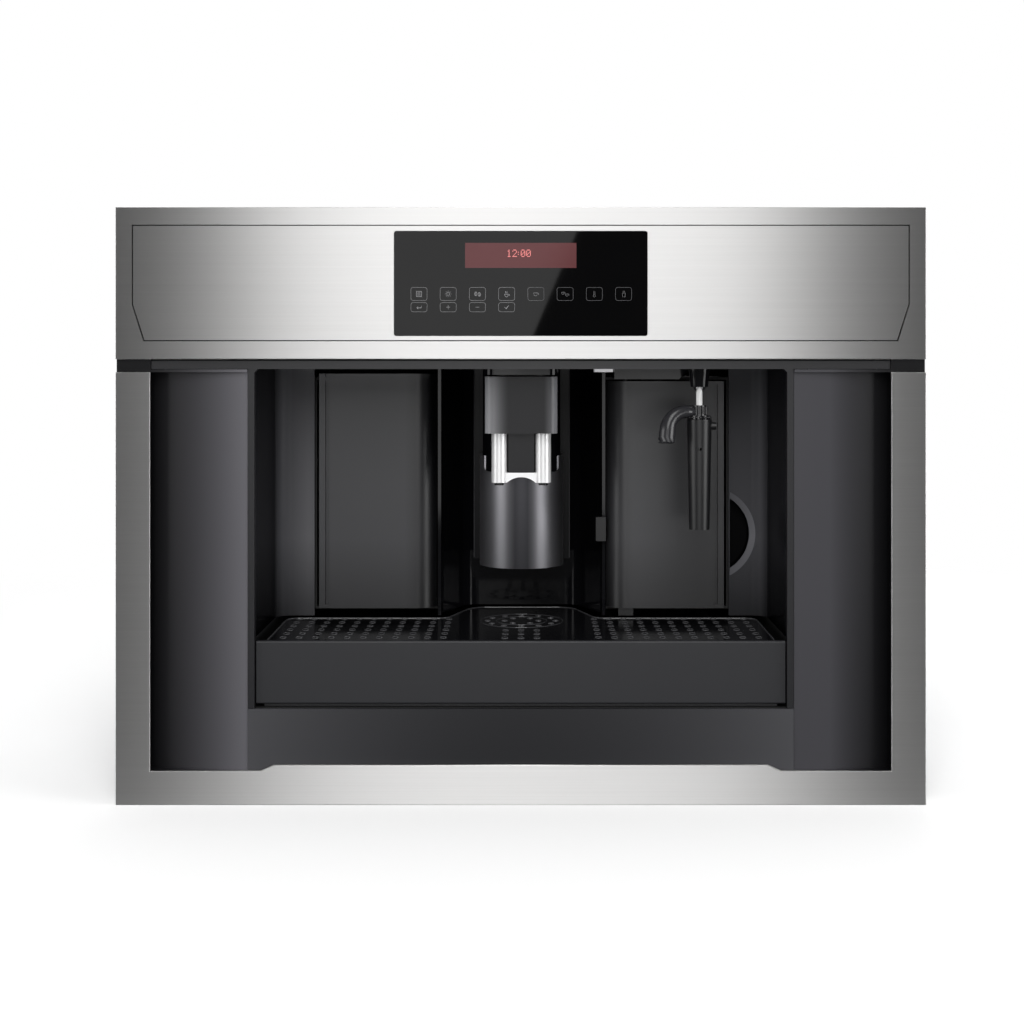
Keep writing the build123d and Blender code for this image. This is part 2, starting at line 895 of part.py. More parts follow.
# ---- trim round the cup bay, side grips and lower fascia ----
trim_outer = bay_half + trim_width - 2 * seam
trim_inner = trim_outer - trim_width
trim_bottom = lower_fascia_top + running_gap
trim_back = trim_depth + trim_thickness
with BuildPart() as bay_trim:
    with BuildSketch(facing(trim_depth)):
        with BuildLine():
            Polyline(
                (-trim_outer, trim_bottom),
                (-trim_outer, strip_high),
                (trim_outer, strip_high),
                (trim_outer, trim_bottom),
                (trim_inner, trim_bottom),
                (trim_inner, ceiling_z - trim_chamfer),
                (trim_inner - trim_chamfer, ceiling_z),
                (-trim_inner + trim_chamfer, ceiling_z),
                (-trim_inner, ceiling_z - trim_chamfer),
                (-trim_inner, trim_bottom),
                close=True,
            )
        make_face()
    extrude(amount=-trim_thickness)
    block(-stile_inner, stile_inner, trim_depth, trim_back, strip_low, strip_high)
    for side in (-1, 1):
        inner = side * (stile_inner - trim_width)
        end = side * (half_width - seam)
        block(
            min(inner, end),
            max(inner, end),
            trim_end_depth,
            trim_end_depth + trim_thickness / 2,
            strip_low,
            strip_high,
        )
save(bay_trim, "bay_trim")

panel_run = panel_edge - grip_inner
panel_drop = panel_end_depth - panel_start_depth
panel_radius = (panel_run**2 + panel_drop**2) / (2 * panel_drop)
panel_back = carrier_front - running_gap
panel_low = rail_height - running_gap


def grip_panel(side):
    """A side panel that curves back behind the stile, with a hand space there."""
    inner = side * grip_inner
    wall_end = inner + side * panel_wall
    wing = side * (half_width - steel_skin - running_gap)
    with BuildPart() as panel:
        with BuildSketch(Plane.XY.offset(panel_low)):
            with Locations((inner, y_of(panel_start_depth + panel_radius))):
                Circle(panel_radius)
                Circle(panel_radius - panel_wall, mode=Mode.SUBTRACT)
            middle_depth = (panel_start_depth + panel_back) / 2
            with Locations((inner + side * panel_run / 2, y_of(middle_depth))):
                Rectangle(panel_run, panel_back - panel_start_depth, mode=Mode.INTERSECT)
        extrude(amount=frame_top - panel_low)
        block(
            min(inner, wall_end),
            max(inner, wall_end),
            panel_start_depth,
            panel_back,
            panel_low,
            frame_top,
        )
        for plate_z in (panel_low - panel_floor, frame_top):
            front = steel_skin + running_gap
            block(min(inner, wing), max(inner, wing), front, panel_back, plate_z, plate_z + panel_floor)
    return panel


grip_panel_left = grip_panel(-1)
save(grip_panel_left, "grip_panel_left")
grip_panel_right = grip_panel(1)
save(grip_panel_right, "grip_panel_right")

lower_half = grip_inner - running_gap
with BuildPart() as lower_fascia:
    block(
        -lower_half,
        lower_half,
        lower_fascia_depth,
        lower_fascia_depth + lower_fascia_sheet,
        rail_height - lower_fascia_tuck,
        lower_fascia_top,
    )
    for side in (-1, 1):
        edge = side * lower_half
        inner = side * (lower_half - lower_fascia_sheet)
        block(
            min(edge, inner),
            max(edge, inner),
            lower_fascia_depth,
            bay_front_depth - running_gap,
            rail_height - lower_fascia_tuck,
            lower_fascia_top,
        )
save(lower_fascia, "lower_fascia")

# ---- cup bay: side walls, niche wall and ceiling ----
finger_z = grid_top + finger_rise
finger_half = finger_height / 2
finger_arc_radius = (finger_half**2 + finger_reach**2) / (2 * finger_reach)
finger_arc_x = bay_face_inner + finger_reach - finger_arc_radius
finger_edge = bay_face_inner + 0.8


def finger_outline(grow):
    """The half-moon of the finger recess, flat on the door's side."""
    with Locations((finger_arc_x, finger_z)):
        Circle(finger_arc_radius + grow)
    with Locations((finger_edge + finger_reach, finger_z)):
        Rectangle(2 * finger_reach, finger_height + 4 * abs(grow), mode=Mode.INTERSECT)


def bay_wall(side, with_recess):
    """A side wall of the cup bay that turns in to a narrow back face."""
    face_back = bay_face_depth + bay_wall_sheet
    wall_outer = bay_half + bay_wall_sheet
    corner = (side * bay_half, y_of(bay_face_depth))
    back_corner = (side * wall_outer, y_of(face_back))
    with BuildPart() as wall:
        with BuildSketch(Plane.XY.offset(tray_clear)) as plan:
            with BuildLine():
                Polyline(
                    (side * bay_half, y_of(bay_front_depth)),
                    (side * wall_outer, y_of(bay_front_depth)),
                    back_corner,
                    (side * bay_face_inner, y_of(face_back)),
                    (side * bay_face_inner, y_of(bay_face_depth)),
                    corner,
                    close=True,
                )
            make_face()
            fillet(plan.vertices().sort_by_distance((*corner, tray_clear))[0], bay_fillet)
            fillet(
                plan.vertices().sort_by_distance((*back_corner, tray_clear))[0],
                bay_fillet + bay_wall_sheet,
            )
        extrude(amount=ceiling_z - running_gap - tray_clear)
        if with_recess:
            with BuildSketch(facing(bay_face_depth + 0.5)):
                finger_outline(bay_wall_sheet)
            extrude(amount=-finger_depth - bay_wall_sheet)
            lead = finger_bevel_depth / 2
            with BuildSketch(facing(bay_face_depth - lead)):
                finger_outline(finger_bevel / 2)
            with BuildSketch(facing(bay_face_depth + finger_bevel_depth)):
                finger_outline(-finger_bevel)
            loft(ruled=True, mode=Mode.SUBTRACT)
            with BuildSketch(facing(bay_face_depth)):
                finger_outline(-finger_bevel)
            extrude(amount=-finger_depth, mode=Mode.SUBTRACT)
    return wall


bay_wall_left = bay_wall(-1, False)
save(bay_wall_left, "bay_wall_left")
bay_wall_right = bay_wall(1, True)
save(bay_wall_right, "bay_wall_right")


def niche_outline(grow):
    """The curved plan of the cup niche between the two columns."""
    half = niche_half_width + grow
    narrow = niche_narrow + grow
    back = y_of(niche_depth + grow)
    with BuildSketch(Plane.XY.offset(tray_clear)) as plan:
        with BuildLine():
            Polyline(
                (half, y_of(niche_start - niche_lead)),
                (half, y_of(niche_straight)),
                (narrow, back),
                (-narrow, back),
                (-half, y_of(niche_straight)),
                (-half, y_of(niche_start - niche_lead)),
                close=True,
            )
        make_face()
        corners = plan.vertices().group_by(Axis.Y)[1:]
        fillet([vertex for group in corners for vertex in group], niche_radius + grow)
    return plan.sketch


niche_top = ceiling_z - running_gap
with BuildPart() as niche_wall:
    extrude(niche_outline(bay_wall_sheet), amount=niche_top - tray_clear)
    extrude(niche_outline(0), amount=niche_top - tray_clear, mode=Mode.SUBTRACT)
    block(
        -bay_half,
        bay_half,
        niche_start - 2 * niche_lead,
        niche_start,
        tray_clear - 1,
        niche_top + 1,
        mode=Mode.SUBTRACT,
    )
save(niche_wall, "niche_wall")


def drum_plan(radius, z0, z1, mode=Mode.ADD):
    """A half-round front with straight sides back to the column's plate."""
    upright(0, drum_depth, z0, z1, radius, mode=mode)
    block(-radius, radius, drum_depth, column_plate_depth, z0, z1, mode=mode)


socket_bottom = pipe_top - socket_lip
fixture_bottom = ceiling_z - door_top_gap + fixture_clear
fixture_left = column_inner + fixture_lead
with BuildPart() as bay_ceiling:
    block(
        -bay_half - bay_wall_sheet,
        bay_half + bay_wall_sheet,
        bay_front_depth,
        niche_depth,
        ceiling_z,
        ceiling_z + ceiling_sheet,
    )
    with BuildSketch(facing(column_depth - fixture_depth)):
        with BuildLine():
            Polyline(
                (fixture_left, ceiling_z),
                (fixture_left, fixture_bottom),
                (wand_x - fixture_slope_low, fixture_bottom),
                (wand_x - fixture_slope_high, ceiling_z),
                close=True,
            )
        make_face()
    extrude(amount=-fixture_depth)
    collar_half = block_half + collar_reach
    collar_front = block_front_depth - collar_reach
    collar_back = drum_depth - block_back_gap
    with BuildSketch(Plane.XY.offset(ceiling_z - collar_height)) as collar_plan:
        with Locations((0, y_of((collar_front + collar_back) / 2))):
            Rectangle(2 * collar_half, collar_back - collar_front)
        fillet(collar_plan.vertices().group_by(Axis.Y)[0], block_corner + collar_reach)
    extrude(amount=collar_height)
    upright(wand_x, wand_depth, socket_bottom, ceiling_z, socket_radius, socket_radius + socket_flare)
    with Locations((wand_x, y_of(wand_depth), pipe_top)):
        Sphere(ball_radius + ball_gap, mode=Mode.SUBTRACT)
    drum_plan(column_radius_inner + running_gap, ceiling_z - collar_height - 1, ceiling_z, mode=Mode.SUBTRACT)
save(bay_ceiling, "bay_ceiling")

with BuildPart() as bay_lamp:
    block(
        column_inner - lamp_left,
        column_inner + lamp_right,
        block_front_depth + lamp_front,
        block_front_depth + lamp_back,
        ceiling_z - lamp_thickness,
        ceiling_z,
    )
save(bay_lamp, "bay_lamp")

# ---- spout drum and the column inside it ----
drum_top = drum_bottom + drum_height
groove_half = tongue_half + running_gap
groove_depth = drum_depth - column_radius_inner + tongue_depth
with BuildPart() as spout_column:
    drum_plan(column_radius_inner, drum_bottom + column_lift, ceiling_z)
    block(
        -column_plate_half,
        column_plate_half,
        column_plate_depth,
        column_plate_depth + column_plate_sheet,
        drum_bottom,
        ceiling_z,
    )
    block(
        -column_web_half,
        column_web_half,
        column_plate_depth + column_plate_sheet,
        niche_depth,
        drum_bottom,
        ceiling_z,
    )
    block(
        -groove_half,
        groove_half,
        drum_depth - column_radius_inner - 2,
        groove_depth + running_gap,
        drum_top - groove_drop,
        ceiling_z + 1,
        mode=Mode.SUBTRACT,
    )
save(spout_column, "spout_column")

with BuildPart() as spout_drum:
    drum_plan(drum_radius, drum_bottom, drum_top)
    drum_plan(drum_radius - drum_wall, drum_bottom + drum_wall, drum_top + 1, mode=Mode.SUBTRACT)
    with BuildSketch(facing(drum_depth - drum_radius - 2)):
        with Locations((0, drum_top - notch_depth + notch_half)):
            RectangleRounded(2 * notch_half, 2 * notch_half, notch_radius)
    extrude(amount=-(drum_radius - notch_back), mode=Mode.SUBTRACT)
save(spout_drum, "spout_drum")

# ---- spout carriage: block, two chrome spouts and their nozzle tips ----
block_bore = drum_radius + drum_clear
spout_bottom = block_bottom - spout_length
with BuildPart() as spout_block:
    with BuildSketch(Plane.XY.offset(block_bottom)) as block_plan:
        with Locations((0, y_of((block_front_depth + drum_depth) / 2))):
            Rectangle(2 * block_half, drum_depth - block_front_depth)
        fillet(block_plan.vertices().group_by(Axis.Y)[0], block_corner)
        with Locations((0, y_of(drum_depth))):
            Circle(block_bore, mode=Mode.SUBTRACT)
    extrude(amount=block_height)
    block(
        -block_half,
        block_half,
        collar_back,
        drum_depth + 1,
        block_bottom - 1,
        block_top + 1,
        mode=Mode.SUBTRACT,
    )
    tongue_back = drum_depth - column_radius_inner + tongue_depth
    block(
        -tongue_half,
        tongue_half,
        drum_depth - block_bore - tongue_root,
        tongue_back,
        block_top - tongue_height,
        block_top,
    )
    web_back = spout_depth + web_panel_depth / 2
    web_bottom = spout_bottom + bridge_height
    block(
        -web_panel_half,
        web_panel_half,
        spout_depth - web_panel_depth / 2,
        web_back,
        web_bottom,
        block_bottom,
    )
save(spout_block, "spout_block")

with BuildPart() as spout_tubes:
    for side in (-1, 1):
        upright(side * spout_pitch / 2, spout_depth, spout_bottom, block_bottom, spout_radius)
    block(
        -spout_pitch / 2,
        spout_pitch / 2,
        spout_depth - bridge_depth / 2,
        spout_depth + bridge_depth / 2,
        spout_bottom,
        web_bottom,
    )
    arch_half = spout_pitch / 2 - spout_radius
    arch_rise = bridge_height - bridge_arch
    arch_radius = (arch_half**2 + arch_rise**2) / (2 * arch_rise)
    lying(
        0,
        spout_depth - spout_radius - 1,
        spout_depth + spout_radius + 1,
        spout_bottom + arch_rise - arch_radius,
        arch_radius,
        mode=Mode.SUBTRACT,
    )
save(spout_tubes, "spout_tubes")

with BuildPart() as nozzle_tips:
    for side in (-1, 1):
        upright(
            side * spout_pitch / 2,
            spout_depth,
            spout_bottom - nozzle_length,
            spout_bottom,
            nozzle_radius,
        )
        upright(
            side * spout_pitch / 2,
            spout_depth,
            spout_bottom - nozzle_length - 1,
            spout_bottom - nozzle_floor,
            nozzle_radius - nozzle_wall,
            mode=Mode.SUBTRACT,
        )
save(nozzle_tips, "nozzle_tips")

# ---- steam wand: ball, pipe with nut and collar, curved grip, frother ----
with BuildPart() as steam_ball:
    with Locations((wand_x, y_of(wand_depth), pipe_top)):
        Sphere(ball_radius)
    block(
        wand_x - pipe_radius - ball_gap,
        wand_x + pipe_radius + ball_gap,
        wand_depth - ball_radius - 1,
        wand_depth + ball_radius + 1,
        pipe_top - ball_radius - 1,
        pipe_top + pipe_radius + running_gap,
        mode=Mode.SUBTRACT,
    )
    crosswise(wand_x - tilt_pin_half, wand_x + tilt_pin_half, wand_depth, pipe_top, tilt_pin_radius)
save(steam_ball, "steam_ball")

nozzle_bottom = sleeve_top - nozzle_pipe_length
with BuildPart() as steam_pipe:
    upright(wand_x, wand_depth, nozzle_bottom, pipe_top, pipe_radius)
    crosswise(wand_x - pipe_radius, wand_x + pipe_radius, wand_depth, pipe_top, pipe_radius)
    tilt_bore = tilt_pin_radius + shaft_gap
    crosswise(
        wand_x - pipe_radius - 1,
        wand_x + pipe_radius + 1,
        wand_depth,
        pipe_top,
        tilt_bore,
        mode=Mode.SUBTRACT,
    )
    upright(wand_x, wand_depth, ring_top, nut_top, nut_radius)
    with BuildSketch(Plane.XY.offset(ring_top + 1)):
        with Locations((wand_x, y_of(wand_depth))):
            with PolarLocations(nut_radius, nut_ribs):
                Circle(nut_rib_radius)
    extrude(amount=nut_height - 2)
    upright(wand_x, wand_depth, sleeve_top + running_gap, ring_top, collar_ring_radius)
    with Locations((wand_x, y_of(wand_depth))):
        with PolarLocations(collar_ring_radius, ring_beads):
            with Locations((0, 0, sleeve_top + collar_ring_height / 2)):
                Sphere(ring_bead_radius)
    upright(
        wand_x,
        wand_depth,
        nozzle_bottom - 1,
        nozzle_bottom + steam_bore_length,
        steam_bore,
        mode=Mode.SUBTRACT,
    )
save(steam_pipe, "steam_pipe")

grip_z = ring_top + grip_rise
grip_start_x = wand_x - nut_radius + grip_root
grip_end_x = wand_x - grip_reach
grip_start_y = y_of(wand_depth)
grip_end_y = y_of(wand_depth - grip_forward)
with BuildPart() as wand_grip:
    with BuildLine() as grip_path:
        FilletPolyline(
            (grip_start_x, grip_start_y, grip_z),
            (grip_end_x, grip_end_y, grip_z),
            (grip_end_x, grip_end_y, grip_z - grip_drop),
            radius=grip_bend,
        )
    with BuildSketch(Plane(origin=grip_path.line @ 0, z_dir=grip_path.line % 0)):
        Circle(grip_tube_radius)
    sweep()
    nut_clear = nut_radius + nut_rib_radius + grip_seam
    ring_clear = collar_ring_radius + ring_bead_radius + grip_seam
    upright(wand_x, wand_depth, ring_top - 1, nut_top + grip_tube_radius, nut_clear, mode=Mode.SUBTRACT)
    upright(
        wand_x,
        wand_depth,
        ring_top - grip_tube_radius,
        ring_top + ring_seam,
        ring_clear,
        mode=Mode.SUBTRACT,
    )
    with Locations((grip_end_x, grip_end_y, grip_z - grip_drop)):
        Cylinder(grip_tube_radius - grip_wall, 2 * grip_mouth_depth, mode=Mode.SUBTRACT)
save(wand_grip, "wand_grip")

sleeve_bottom = sleeve_top - sleeve_length
with BuildPart() as frother_sleeve:
    upright(wand_x, wand_depth, sleeve_bottom, sleeve_top, sleeve_bottom_radius, sleeve_top_radius)
    knob_z = sleeve_top - sleeve_knob_drop
    crosswise(
        wand_x + sleeve_bore - 1,
        wand_x + sleeve_top_radius + sleeve_knob_reach,
        wand_depth,
        knob_z,
        sleeve_knob_radius,
    )
    upright(wand_x, wand_depth, sleeve_bottom - 1, sleeve_top + 1, sleeve_bore, mode=Mode.SUBTRACT)
    upright(wand_x, wand_depth, sleeve_top - sleeve_cap, sleeve_top, sleeve_bore + 0.5)
    upright(
        wand_x,
        wand_depth,
        sleeve_top - sleeve_cap - 1,
        sleeve_top + 1,
        pipe_radius + running_gap,
        mode=Mode.SUBTRACT,
    )
    air_hole_z = sleeve_top - air_hole_drop
    lying(
        wand_x,
        wand_depth - sleeve_top_radius - 1,
        wand_depth,
        air_hole_z,
        air_hole_radius,
        mode=Mode.SUBTRACT,
    )
save(frother_sleeve, "frother_sleeve")

# ---- drip tray: front, pan with its rear lobe, grounds box and grid ----
with BuildPart() as tray_front:
    block(
        -tray_front_half,
        tray_front_half,
        tray_front_depth,
        tray_front_depth + tray_front_sheet,
        tray_bottom,
        grid_top,
    )
    fillet(tray_front.edges().filter_by(Axis.X).group_by(Axis.Y)[0], tray_edge_round)
save(tray_front, "tray_front")

pan_front = tray_front_depth + tray_front_sheet
pan_floor = lower_fascia_top + 2 * running_gap
pan_rim = grid_top - grid_thickness


def pan_outline(inset):
    """The tray's plan: straight front and sides, a bell-shaped back edge."""
    half = pan_half - inset
    side_y = y_of(pan_side_depth - inset)
    back_y = y_of(pan_centre_depth - inset)
    front = y_of(pan_front + inset)
    Polygon(
        (-half, front),
        (half, front),
        (half, side_y),
        (pan_bell_wide - inset, side_y),
        (pan_bell_narrow - inset, back_y),
        (-pan_bell_narrow + inset, back_y),
        (-pan_bell_wide + inset, side_y),
        (-half, side_y),
        align=None,
    )


def round_bell(plan, inset):
    """Round the bell's two back corners, then its two front ones."""
    back = [v for v in plan.vertices() if v.Y > y_of(pan_centre_depth - inset - 1)]
    fillet(back, pan_bell_radius - inset)
    near = [v for v in plan.vertices() if abs(abs(v.X) - pan_bell_wide + inset) < 0.01]
    fillet(near, pan_foot_radius + inset)
    middle_y = y_of((pan_front + pan_side_depth) / 2)
    sides = [v for v in plan.vertices() if abs(v.X) > pan_half - inset - 0.01 and v.Y > middle_y]
    fillet(sides, pan_corner_radius - inset)


box_back_depth = housing_back - box_back_gap
with BuildPart() as tray_pan:
    with BuildSketch(Plane.XY.offset(pan_floor)) as pan_plan:
        pan_outline(0)
        round_bell(pan_plan, 0)
    extrude(amount=pan_rim - pan_floor)
    with BuildSketch(Plane.XY.offset(pan_floor + pan_wall)) as pan_inside:
        pan_outline(pan_wall)
        round_bell(pan_inside, pan_wall)
    extrude(amount=pan_rim - pan_floor, mode=Mode.SUBTRACT)
    rear_left = box_left - condensate_margin
    rear_right = box_left + box_width + condensate_margin
    rear_back = box_back_depth + condensate_margin
    block(rear_left, rear_right, pan_side_depth - 1, rear_back, pan_floor, pan_floor + rear_tray_height)
    block(
        rear_left + pan_wall,
        rear_right - pan_wall,
        pan_side_depth,
        rear_back - pan_wall,
        pan_floor + pan_wall,
        pan_floor + rear_tray_height + 1,
        mode=Mode.SUBTRACT,
    )
save(tray_pan, "tray_pan")

box_floor = pan_floor + pan_wall + running_gap
with BuildPart() as grounds_box:
    block(
        box_left,
        box_left + box_width,
        pan_side_depth + box_gap,
        box_back_depth,
        box_floor,
        grid_top - box_rim_drop,
    )
    block(
        box_left + box_wall,
        box_left + box_width - box_wall,
        pan_side_depth + box_gap + box_wall,
        box_back_depth - box_wall,
        box_floor + box_wall,
        grid_top,
        mode=Mode.SUBTRACT,
    )
    fillet(grounds_box.edges().filter_by(Axis.Z).group_by(Axis.Y)[0], box_corner)
save(grounds_box, "grounds_box")

with BuildPart() as drip_grid:
    with BuildSketch(Plane.XY.offset(pan_rim)) as grid_plan:
        pan_outline(grid_inset)
        round_bell(grid_plan, grid_inset)
    extrude(amount=grid_thickness)
    grid_middle = (pan_front + pan_side_depth) / 2 + slot_shift
    slot_columns = math.floor((pan_half - ring_radius - slot_clear) / slot_pitch_x)
    slot_span = (slot_columns - 1) * slot_pitch_x
    slot_middle = pan_half - slot_edge - slot_span / 2
    with BuildSketch(Plane.XY.offset(pan_rim - 1)):
        for side in (-1, 1):
            with Locations((side * slot_middle, y_of(grid_middle))):
                with GridLocations(slot_pitch_x, slot_pitch_y, slot_columns, slot_rows):
                    SlotOverall(slot_length, slot_width, rotation=90)
        with Locations((0, y_of(drum_depth - ring_forward))):
            with PolarLocations(ring_radius, ring_holes):
                Circle(ring_hole_radius)
            with PolarLocations(ring_radius / 2, ring_holes // 2):
                Circle(ring_hole_radius)
        with Locations((0, y_of(pan_front + front_slots_depth))):
            with GridLocations(slot_pitch_x, slot_pitch_y, front_slots, front_slots):
                SlotOverall(slot_length, slot_width, rotation=90)
    extrude(amount=grid_thickness + 2, mode=Mode.SUBTRACT)
save(drip_grid, "drip_grid")

housing_inner = bay_half
with BuildPart() as tray_housing:
    block(
        -housing_inner - bay_wall_sheet,
        housing_inner + bay_wall_sheet,
        bay_front_depth,
        housing_back,
        pan_floor - running_gap - housing_floor,
        tray_clear - running_gap,
    )
    block(
        -housing_inner,
        housing_inner,
        bay_front_depth - 1,
        housing_back - housing_floor,
        pan_floor - running_gap,
        tray_clear + 1,
        mode=Mode.SUBTRACT,
    )
save(tray_housing, "tray_housing")

# ---- compartments behind the two columns ----
compartment_front = bay_face_depth + bay_wall_sheet + face_gap
compartment_step = niche_straight + hinge_room


def compartment(side):
    """An open-fronted housing; its inner wall leaves room for the hinge."""
    near = side * compartment_inner
    far = side * compartment_outer
    low_x = min(near, far)
    high_x = max(near, far)
    block(low_x, high_x, compartment_front, housing_back, compartment_bottom, housing_top)
    block(
        low_x + compartment_wall,
        high_x - compartment_wall,
        compartment_front - 1,
        housing_back - compartment_wall,
        compartment_floor,
        housing_top - compartment_wall,
        mode=Mode.SUBTRACT,
    )
    hinge_side = near + side * (compartment_wall + 0.5)
    block(
        min(near - side * 1, hinge_side),
        max(near - side * 1, hinge_side),
        compartment_front - 1,
        compartment_step,
        compartment_floor,
        housing_top - compartment_wall,
        mode=Mode.SUBTRACT,
    )


tank_outlet_x = -(compartment_inner + compartment_outer) / 2
tank_outlet_z = compartment_floor + tank_outlet_rise
with BuildPart() as tank_housing:
    compartment(-1)
    spigot_front = housing_back - spigot_reach
    lying(tank_outlet_x, spigot_front, housing_back + spigot_tail, tank_outlet_z, tank_spigot_radius)
    lying(
        tank_outlet_x,
        spigot_front - 1,
        housing_back + spigot_tail + 1,
        tank_outlet_z,
        tank_spigot_radius - spigot_wall,
        mode=Mode.SUBTRACT,
    )
save(tank_housing, "tank_housing")

with BuildPart() as brew_housing:
    compartment(1)
    block(
        compartment_inner + puck_margin,
        compartment_outer - puck_margin,
        brew_depth - puck_front,
        brew_depth + puck_back,
        compartment_bottom - 1,
        compartment_floor + 1,
        mode=Mode.SUBTRACT,
    )
    upright(
        funnel_x,
        funnel_depth,
        housing_top - 2 * compartment_wall,
        housing_top + 1,
        funnel_neck + 1,
        mode=Mode.SUBTRACT,
    )
save(brew_housing, "brew_housing")


def column_profile(side, z0, z1):
    """The column's face: a flat front, a round inner edge, a groove, a strip."""
    strip_x = column_flat_end + column_groove
    back = column_depth + column_groove_depth + column_wall
    end = column_depth + column_return
    round_in = column_radius - column_wall
    spots = [
        (column_flat_end, column_depth),
        (column_flat_end, column_depth + column_groove_depth),
        (strip_x, column_depth + column_groove_depth),
        (strip_x, column_depth + 1),
        (column_outer, column_depth + 1),
        (column_outer, end),
        (column_outer - column_wall, end),
        (column_outer - column_wall, back),
        (column_flat_end - column_wall, back),
        (column_flat_end - column_wall, column_depth + column_wall),
        (pivot_x, column_depth + column_wall),
    ]
    with BuildSketch(Plane.XY.offset(z0)) as plan:
        with BuildLine():
            centre = (side * pivot_x, y_of(pivot_depth))
            outer_start = (side * column_inner, y_of(pivot_depth))
            outer_middle = (
                centre[0] - side * column_radius * math.sqrt(0.5),
                centre[1] - column_radius * math.sqrt(0.5),
            )
            ThreePointArc(outer_start, outer_middle, (side * pivot_x, y_of(column_depth)))
            chain = [(side * x, y_of(depth)) for x, depth in spots]
            Polyline((side * pivot_x, y_of(column_depth)), *chain)
            inner_middle = (
                centre[0] - side * round_in * math.sqrt(0.5),
                centre[1] - round_in * math.sqrt(0.5),
            )
            inner_end = (side * (pivot_x - round_in), y_of(pivot_depth))
            ThreePointArc(chain[-1], inner_middle, inner_end)
            Line(inner_end, outer_start)
        make_face()
    extrude(plan.sketch, amount=z1 - z0)


# ---- service door on two vertical hinge pins ----
door_top = ceiling_z - door_top_gap
door_bottom = column_foot
knuckle_height = door_pin_reach
with BuildPart() as service_door:
    column_profile(1, door_bottom, door_top)
    for plate_z in (door_bottom, door_top - column_wall):
        block(
            pivot_x,
            column_outer - column_wall,
            column_depth + 1,
            column_depth + column_return,
            plate_z,
            plate_z + column_wall,
        )
    for knuckle_z0 in (door_bottom, door_top - knuckle_height):
        upright(pivot_x, pivot_depth, knuckle_z0, knuckle_z0 + knuckle_height, door_knuckle_radius)
        block(
            pivot_x - door_knuckle_radius,
            pivot_x + door_knuckle_radius,
            column_depth + 1,
            pivot_depth,
            knuckle_z0,
            knuckle_z0 + knuckle_height,
        )
    upright(
        pivot_x,
        pivot_depth,
        door_bottom - 1,
        door_top + 1,
        door_pin_radius + shaft_gap,
        mode=Mode.SUBTRACT,
    )
save(service_door, "service_door")

hinge_block_z = door_bottom + hinge_block_rise
hinge_block_right = column_inner - hinge_block_gap
with BuildPart() as hinge_pins:
    block(
        hinge_block_right - hinge_block_width,
        hinge_block_right,
        niche_start - hinge_block_depth,
        niche_start - running_gap,
        hinge_block_z,
        hinge_block_z + hinge_block_height,
    )
    foot_front = pivot_depth - door_pin_radius - seam
    upright(pivot_x, pivot_depth, door_bottom - door_foot_gap, door_bottom + door_pin_reach, door_pin_radius)
    block(
        pivot_x - hinge_foot_half,
        pivot_x + hinge_foot_half,
        foot_front,
        compartment_front - running_gap,
        tray_clear,
        door_bottom - door_foot_gap,
    )
    upright(pivot_x, pivot_depth, door_top - door_pin_reach, ceiling_z - 1, door_pin_radius)
    block(
        pivot_x - hinge_foot_half,
        pivot_x + hinge_foot_half,
        pivot_depth - hinge_foot_half,
        pivot_depth + hinge_foot_half,
        housing_top + running_gap,
        ceiling_z,
    )
save(hinge_pins, "hinge_pins")

# ---- water tank with its column front ----
tank_top = ceiling_z - tank_top_gap
tank_front_back = column_depth + column_return
tank_right = compartment_inner + tank_hinge_side
tank_bottom = compartment_floor + 2 * running_gap
tank_upper = housing_top - tank_top_gap
tank_back = housing_back - tank_back_gap
with BuildPart() as tank_front:
    column_profile(-1, column_foot, tank_top)
    for plate_z in (column_foot, tank_upper + 1):
        block(
            -column_outer + column_wall,
            -pivot_x,
            column_depth + 1,
            tank_front_back - 1,
            plate_z,
            plate_z + column_wall,
        )
save(tank_front, "tank_front")

with BuildPart() as water_tank:
    block(
        -compartment_outer + tank_side_gap,
        -tank_right - tank_side_gap,
        compartment_front + 1,
        tank_back,
        tank_bottom,
        tank_upper,
    )
    block(
        -compartment_outer + tank_side_gap + tank_wall,
        -tank_right - tank_side_gap - tank_wall,
        compartment_front + 1 + tank_wall,
        tank_back - tank_wall,
        tank_bottom + tank_wall,
        tank_upper + 1,
        mode=Mode.SUBTRACT,
    )
    for rib_z in (column_foot + link_rise, tank_upper - link_drop):
        block(
            -pivot_x - link_start - link_width,
            -pivot_x - link_start,
            tank_front_back - link_lap,
            compartment_front + 2,
            rib_z,
            rib_z + link_height,
        )
    outlet_ring = tank_spigot_radius + running_gap
    outlet_end = housing_back - compartment_wall - running_gap
    lying(tank_outlet_x, tank_back - outlet_length, outlet_end, tank_outlet_z, outlet_ring + outlet_wall)
    lying(
        tank_outlet_x,
        tank_back - outlet_length - 2,
        housing_back,
        tank_outlet_z,
        outlet_ring,
        mode=Mode.SUBTRACT,
    )
save(water_tank, "water_tank")

